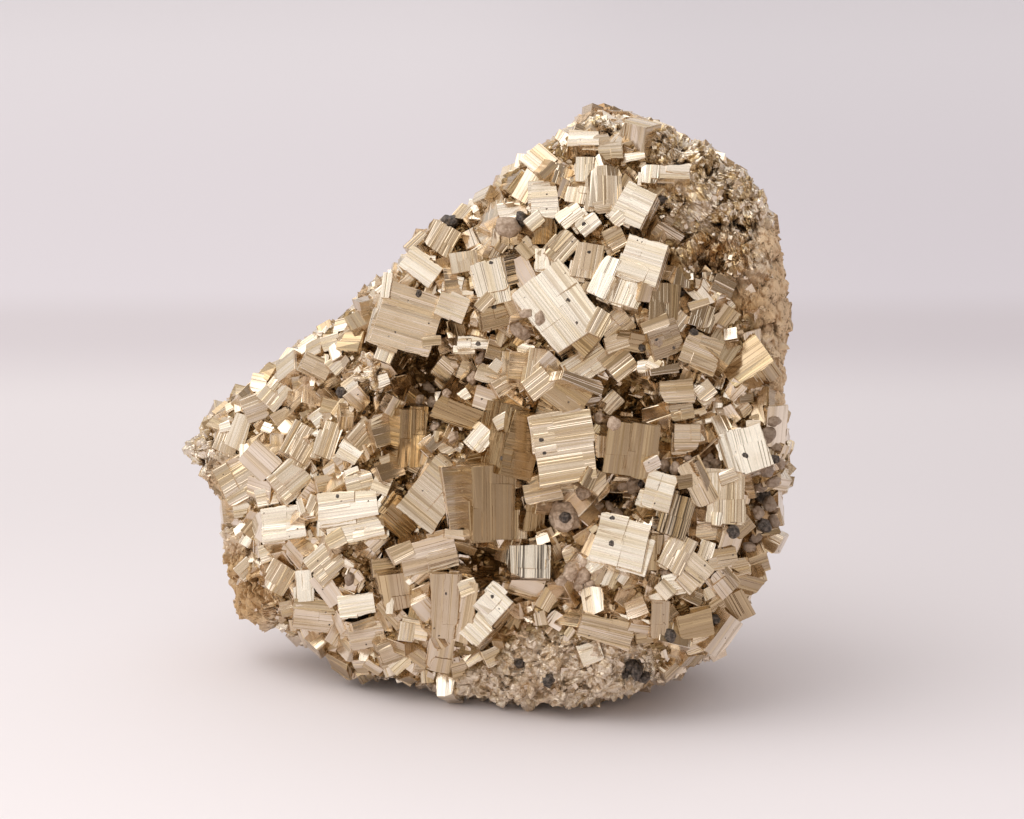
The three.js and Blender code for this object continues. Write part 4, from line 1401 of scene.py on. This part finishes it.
sizes = rng.lognormal(SIZE_MIDDLE, SIZE_VARIES, len(points))
sizes = np.sort(np.clip(sizes, SIZE_LEAST, SIZE_MOST))[::-1]
sizes = np.minimum(sizes, EDGE_SIZE + EDGE_GROWTH * np.abs(normals[:, 2] - EDGE_FACING))
taken = spaced(points, sizes)
points, normals, sizes = points[taken], normals[taken], sizes[taken]
print("small crystals:", len(points), "from", sizes.min().round(2), "to", sizes.max().round(2), "mm")

# %% Grow the small crystals
SMALL_STRAY = 0.38
TOWARDS_US = 0.45
RISE_TOWARDS_US, RISE_ELSEWHERE = (0.05, 0.5), (0.0, 0.2)
LENGTHS, WIDTHS, DEEP_AS = (0.85, 1.5), (0.7, 1.15), 1.1
SMALL_FLAT = 0.36
SMALL_LIMIT = 0.05
MOST_TONE = 0.9

turns = turned_towards(rng, normals, SMALL_STRAY)
high, low = rng.uniform(*RISE_TOWARDS_US, len(points)), rng.uniform(*RISE_ELSEWHERE, len(points))
rises = np.where(normals[:, 2] > TOWARDS_US, high, low) * sizes
small_front, small_back = Pile(), Pile()
for point, turn, size, rise, ahead in zip(points, turns, sizes, rises, on_front(points)):
    halves = size / 2 * np.array([rng.uniform(*LENGTHS), rng.uniform(*WIDTHS), DEEP_AS])
    local, faces, axes = ruled_crystal(rng, halves, SMALL_FLAT * size ** 0.5, SMALL_LIMIT)
    local = worn(rng, local, halves)
    place = point + turn[:, 2] * (rise - halves[2])
    pile = small_front if ahead else small_back
    pile.add(local, faces, axes, turn, place, rng.uniform(0, MOST_TONE))
    grown_blocks.append((place, turn, halves))
small_front.make("small_front_crystals", CRYSTAL_PYRITE)
small_back.make("small_back_crystals", CRYSTAL_PYRITE)

# %% [markdown]
# ## The crust of grains
# What is left of the surface is massive pyrite: grains grown against each other until none kept its cube.
# Each is a block with its corners moved about, sunk until little more than one face shows. They are finer
# on the front, where they sparkle between the crystals, and coarser on the sides and the back, where
# patches of them are weathered and dull.

# %% A crust
TRIES = 3
GRAIN_VARIES, GRAIN_LEAST = 0.4, 0.25
GRAIN_SIDES = (0.7, 1.3)
UNEVEN = 0.2
SUNK = (0.2, 0.5)
AGED = 1.5
AGED_BEHIND, AGED_SIZE, AGED_OVER = 0.8, 11, 0.1
GRAIN_STRAY, LEVELLED = 0.45, 0.25


def crust(name, rng, count, wanted, usual, most):
    """Grains strewn where `wanted` gives them a share, of `usual` size in mm and none larger than `most`."""
    points, normals = strewn(rng, count * TRIES)
    kept = (rng.uniform(size=len(points)) < wanted(points)) & ~in_grown(points, 0)
    points, normals = points[kept][:count], normals[kept][:count]
    many = len(points)
    sizes = np.clip(usual * rng.lognormal(0, GRAIN_VARIES, many), GRAIN_LEAST, most)[:, None, None]
    sides = CUBE_CORNERS * rng.uniform(*GRAIN_SIDES, (many, 1, 3))
    local = sizes / 2 * (sides + rng.normal(0, UNEVEN, (many, 8, 3)))
    sunk = rng.uniform(*SUNK, (many, 1)) * sizes[:, 0]
    aged_behind = AGED_BEHIND * behind(points) * (patches(points, AGED_SIZE) > AGED_OVER)
    aged = rng.uniform(size=many) < np.maximum(worn_dull(points), aged_behind)
    tones = np.where(aged, AGED, rng.uniform(0, MOST_TONE, many))
    turns = turned_towards(rng, normals, GRAIN_STRAY - LEVELLED * granular(points)[:, None])
    grown = Pile()
    grown.add_blocks(local, turns, points - normals * sunk, tones)
    grown.make(name, GRAIN_PYRITE)


# %% The crust of the front and of the back
THIN, THIN_IN_HOLLOW, THINNED = 0.7, 0.15, 0.58


def front_share(points):
    thin = np.where(in_hollow(points), THIN_IN_HOLLOW, THIN - THINNED * granular(points))
    return np.where(on_front(points), thin, 0.0)


def back_share(points):
    return np.where(on_front(points), 0.0, 1.0)


crust("front_crust", np.random.default_rng(31), 9000, front_share, usual=0.5, most=1.2)
crust("back_crust", np.random.default_rng(37), 14500, back_share, usual=1.1, most=2.6)

# %% [markdown]
# ## Grains of other minerals
# Round pinkish-grey grains one to four millimetres across grew on the faces last, some with a dark core,
# and black grains and specks of another sulphide sit among them. Both are dull beside the pyrite, which is
# what makes them show. They are few and can be seen one by one, so each is listed on its own: a ball made
# lumpy by a noise, squashed and half sunk.

# %% The finish of the round grains
ASH, ASH_PINK, ASH_DARK = (0.44, 0.31, 0.21, 1), (0.72, 0.56, 0.42, 1), (0.20, 0.14, 0.10, 1)


def round_grain_finish():
    finish = bpy.data.materials.new("round_grain")
    graph = Graph(finish)
    place = graph.place()
    mottle = graph.noise(graph.scaled(place, (2.5, 2.5, 2.5)), 4, 0.6)
    tone = graph.attribute("tone", "Fac")
    colour = graph.blend(mottle.between(0.35, 0.65), ASH, ASH_PINK)
    colour = graph.blend(tone, colour, ASH_DARK)
    graph.surface({
        "Base Color": colour,
        "Metallic": 0.25,
        "Roughness": 0.42,
        "Normal": graph.bump(graph.noise(graph.scaled(place, (5, 5, 5)), 4, 0.6), 0.12),
    })
    return finish


ROUND_GRAIN = round_grain_finish()
print("nodes in the round grains' finish:", len(ROUND_GRAIN.node_tree.nodes))

# %% The finish of the black grains
SOOT, SOOT_PALE = (0.045, 0.035, 0.028, 1), (0.16, 0.125, 0.10, 1)


def black_grain_finish():
    finish = bpy.data.materials.new("black_grain")
    graph = Graph(finish)
    place = graph.place()
    mottle = graph.noise(graph.scaled(place, (3, 3, 3)), 3, 0.6)
    graph.surface({
        "Base Color": graph.blend(mottle.between(0.4, 0.65), SOOT, SOOT_PALE),
        "Metallic": 0.3,
        "Roughness": 0.45,
        "Normal": graph.bump(mottle, 0.15),
    })
    return finish


BLACK_GRAIN = black_grain_finish()
print("nodes in the black grains' finish:", len(BLACK_GRAIN.node_tree.nodes))

# %% Where the grains are
# Each row: x, y, radius, and for the round grains how dark they are, 0 to 1.
ROUND_GRAINS = [
    (9.9, -13.7, 1.9, 0.1), (10.6, -20.8, 1.2, 0), (12.0, -21.0, 1.2, 0.1), (13.1, -22.6, 0.75, 0),
    (12.3, -19.5, 0.5, 0), (18.9, -9.3, 1.2, 0.3), (22.6, -7.0, 0.8, 0.3), (24.3, -7.3, 0.8, 0.4),
    (15.6, -12.3, 0.6, 0.2), (12.2, -10.5, 0.9, 0.1), (22.9, -20.7, 0.7, 0.3), (4.2, 10.7, 1.2, 0.3),
    (-8.0, 3.0, 0.9, 0.2), (-7.4, 1.2, 0.8, 0.1), (-7.0, -2.0, 0.75, 0.2), (-4.8, -3.3, 0.8, 0.1),
    (-2.2, 4.4, 0.8, 0.1), (-1.0, 6.9, 0.9, 0.2), (14.5, -0.7, 0.9, 0), (-18.2, -21.7, 0.8, 0.6),
    (2.4, 24.0, 1.5, 0.3), (28.5, -6.0, 0.9, 0.4), (29.5, -6.8, 0.7, 0.4), (28.0, -7.0, 0.7, 0.3),
    (16.6, -13.2, 0.8, 0.2), (17.4, -9.6, 0.7, 0.1), (11.6, -22.4, 0.8, 0.1), (9.4, -22.0, 0.7, 0.2),
    (14.2, -12.4, 0.6, 0.1), (25.8, -5.9, 0.5, 0.3), (6.6, 12.2, 0.8, 0.3), (4.8, 12.8, 0.7, 0.2),
    (-9.2, 1.6, 0.6, 0.2), (-5.6, 2.4, 0.6, 0.1), (22.0, 9.0, 0.5, 0.5), (16.2, -1.4, 0.8, 0.1),
    (36.2, -3.0, 1.0, 0.7), (37.2, -4.6, 0.8, 0.5), (36.0, -7.4, 1.1, 0.8), (36.8, -9.0, 0.9, 0.6),
    (36.4, -12.0, 1.0, 0.7), (34.8, -13.2, 0.9, 0.5), (34.6, -16.4, 0.9, 0.8), (37.0, -1.2, 0.8, 0.6),
    (37.6, -6.6, 0.8, 0.5), (35.2, -9.6, 0.8, 0.6), (36.9, -14.2, 0.8, 0.7), (33.8, -17.6, 0.8, 0.6),
]
BLACK_GRAINS = [
    (9.9, -13.7, 0.75), (19.9, -9.2, 0.55), (-5.0, 24.8, 1.1), (4.3, 25.2, 0.9), (18.4, -32.8, 0.9),
    (19.2, -33.6, 1.0), (20.0, -34.4, 0.8), (17.5, -34.0, 0.7), (23.5, -29.0, 0.8), (29.2, -27.0, 0.7),
    (35.4, -10.6, 1.1), (35.6, -14.8, 0.9), (36.9, -6.0, 0.7), (4.0, -32.6, 0.7), (7.6, -34.8, 0.8),
    (-19.2, 2.6, 0.7), (22.4, 27.6, 0.6), (26.6, 10.4, 0.5), (20.0, 8.4, 0.5), (-9.2, 15.4, 0.4),
    (31.8, -15.4, 0.8), (24.9, 15.4, 0.5),
]
SPECKS = [
    (33.3, -5.6, 0.42), (16.0, -13.7, 0.3), (15.9, -17.1, 0.42), (0.4, -24.0, 0.26), (6.8, -3.7, 0.3),
    (7.2, -5.3, 0.24), (-1.5, 8.9, 0.3), (0.2, 19.4, 0.26), (0.6, 13.6, 0.26), (1.6, -6.0, 0.3),
    (12.4, 24.4, 0.3), (10.4, 14.6, 0.28), (11.4, 11.6, 0.22), (13.0, 20.8, 0.24), (24.0, 8.4, 0.22),
    (-19.8, -10.9, 0.24), (-13.2, -11.0, 0.22), (-16.4, 0.0, 0.35), (-5.6, -23.6, 0.2), (21.8, 9.4, 0.22),
]
print("round grains, black grains and specks:", len(ROUND_GRAINS), len(BLACK_GRAINS), len(SPECKS))


# %% A pile of lumpy balls
BALL_DETAIL = 3
LUMP_HEIGHT, LUMP_FINENESS = 0.4, 1.4
NOISE_REACH = 50
LONGER, NARROWER = 1.1, (0.7, 1)
BALL_STRAY = 0.05
BALL_RISE = 0.2
PLAIN_TONE = 0.5


def unit_ball():
    """Points and faces of a ball."""
    ball = bmesh.new()
    bmesh.ops.create_icosphere(ball, subdivisions=BALL_DETAIL, radius=1)
    points = np.array([v.co for v in ball.verts])
    faces = [[v.index for v in face.verts] for face in ball.faces]
    ball.free()
    return points, faces


def round_pile(rng, rows, squash):
    """Lumpy balls set half into whatever is sighted at each place."""
    unit, faces = unit_ball()
    made = Pile()
    for x, y, radius, *dark in rows:
        spot, normal = met(sight, x, y)
        if spot is None:
            continue
        start = Vector(rng.uniform(0, NOISE_REACH, 3))
        lumps = np.array([noise.noise(Vector(p) * LUMP_FINENESS + start) for p in unit])[:, None]
        turn = turned_towards(rng, (normal * np.sign(normal[2] or 1))[None], BALL_STRAY)[0]
        stretch = np.array([LONGER, rng.uniform(*NARROWER), squash])
        local = unit * (1 + LUMP_HEIGHT * lumps) * radius * stretch
        place = spot + turn[:, 2] * radius * squash * BALL_RISE
        made.add(local, faces, np.full(len(faces), 2), turn, place, dark[0] if dark else PLAIN_TONE)
    return made


# %% Grow the grains
# Each kind's squash is how high its grains are for their width. The black ones may sit on the round ones.
ROUND_SQUASH, BLACK_SQUASH, SPECK_SQUASH = 0.75, 0.9, 0.14

rng = np.random.default_rng(41)
sight = sight_tree(large, middling, small_front)
round_grains = round_pile(rng, ROUND_GRAINS, ROUND_SQUASH)
round_grains.make("round_grains", ROUND_GRAIN)
sight = sight_tree(large, middling, small_front, round_grains)
round_pile(rng, BLACK_GRAINS, BLACK_SQUASH).make("black_grains", BLACK_GRAIN)
round_pile(rng, SPECKS, SPECK_SQUASH).make("specks", BLACK_GRAIN)
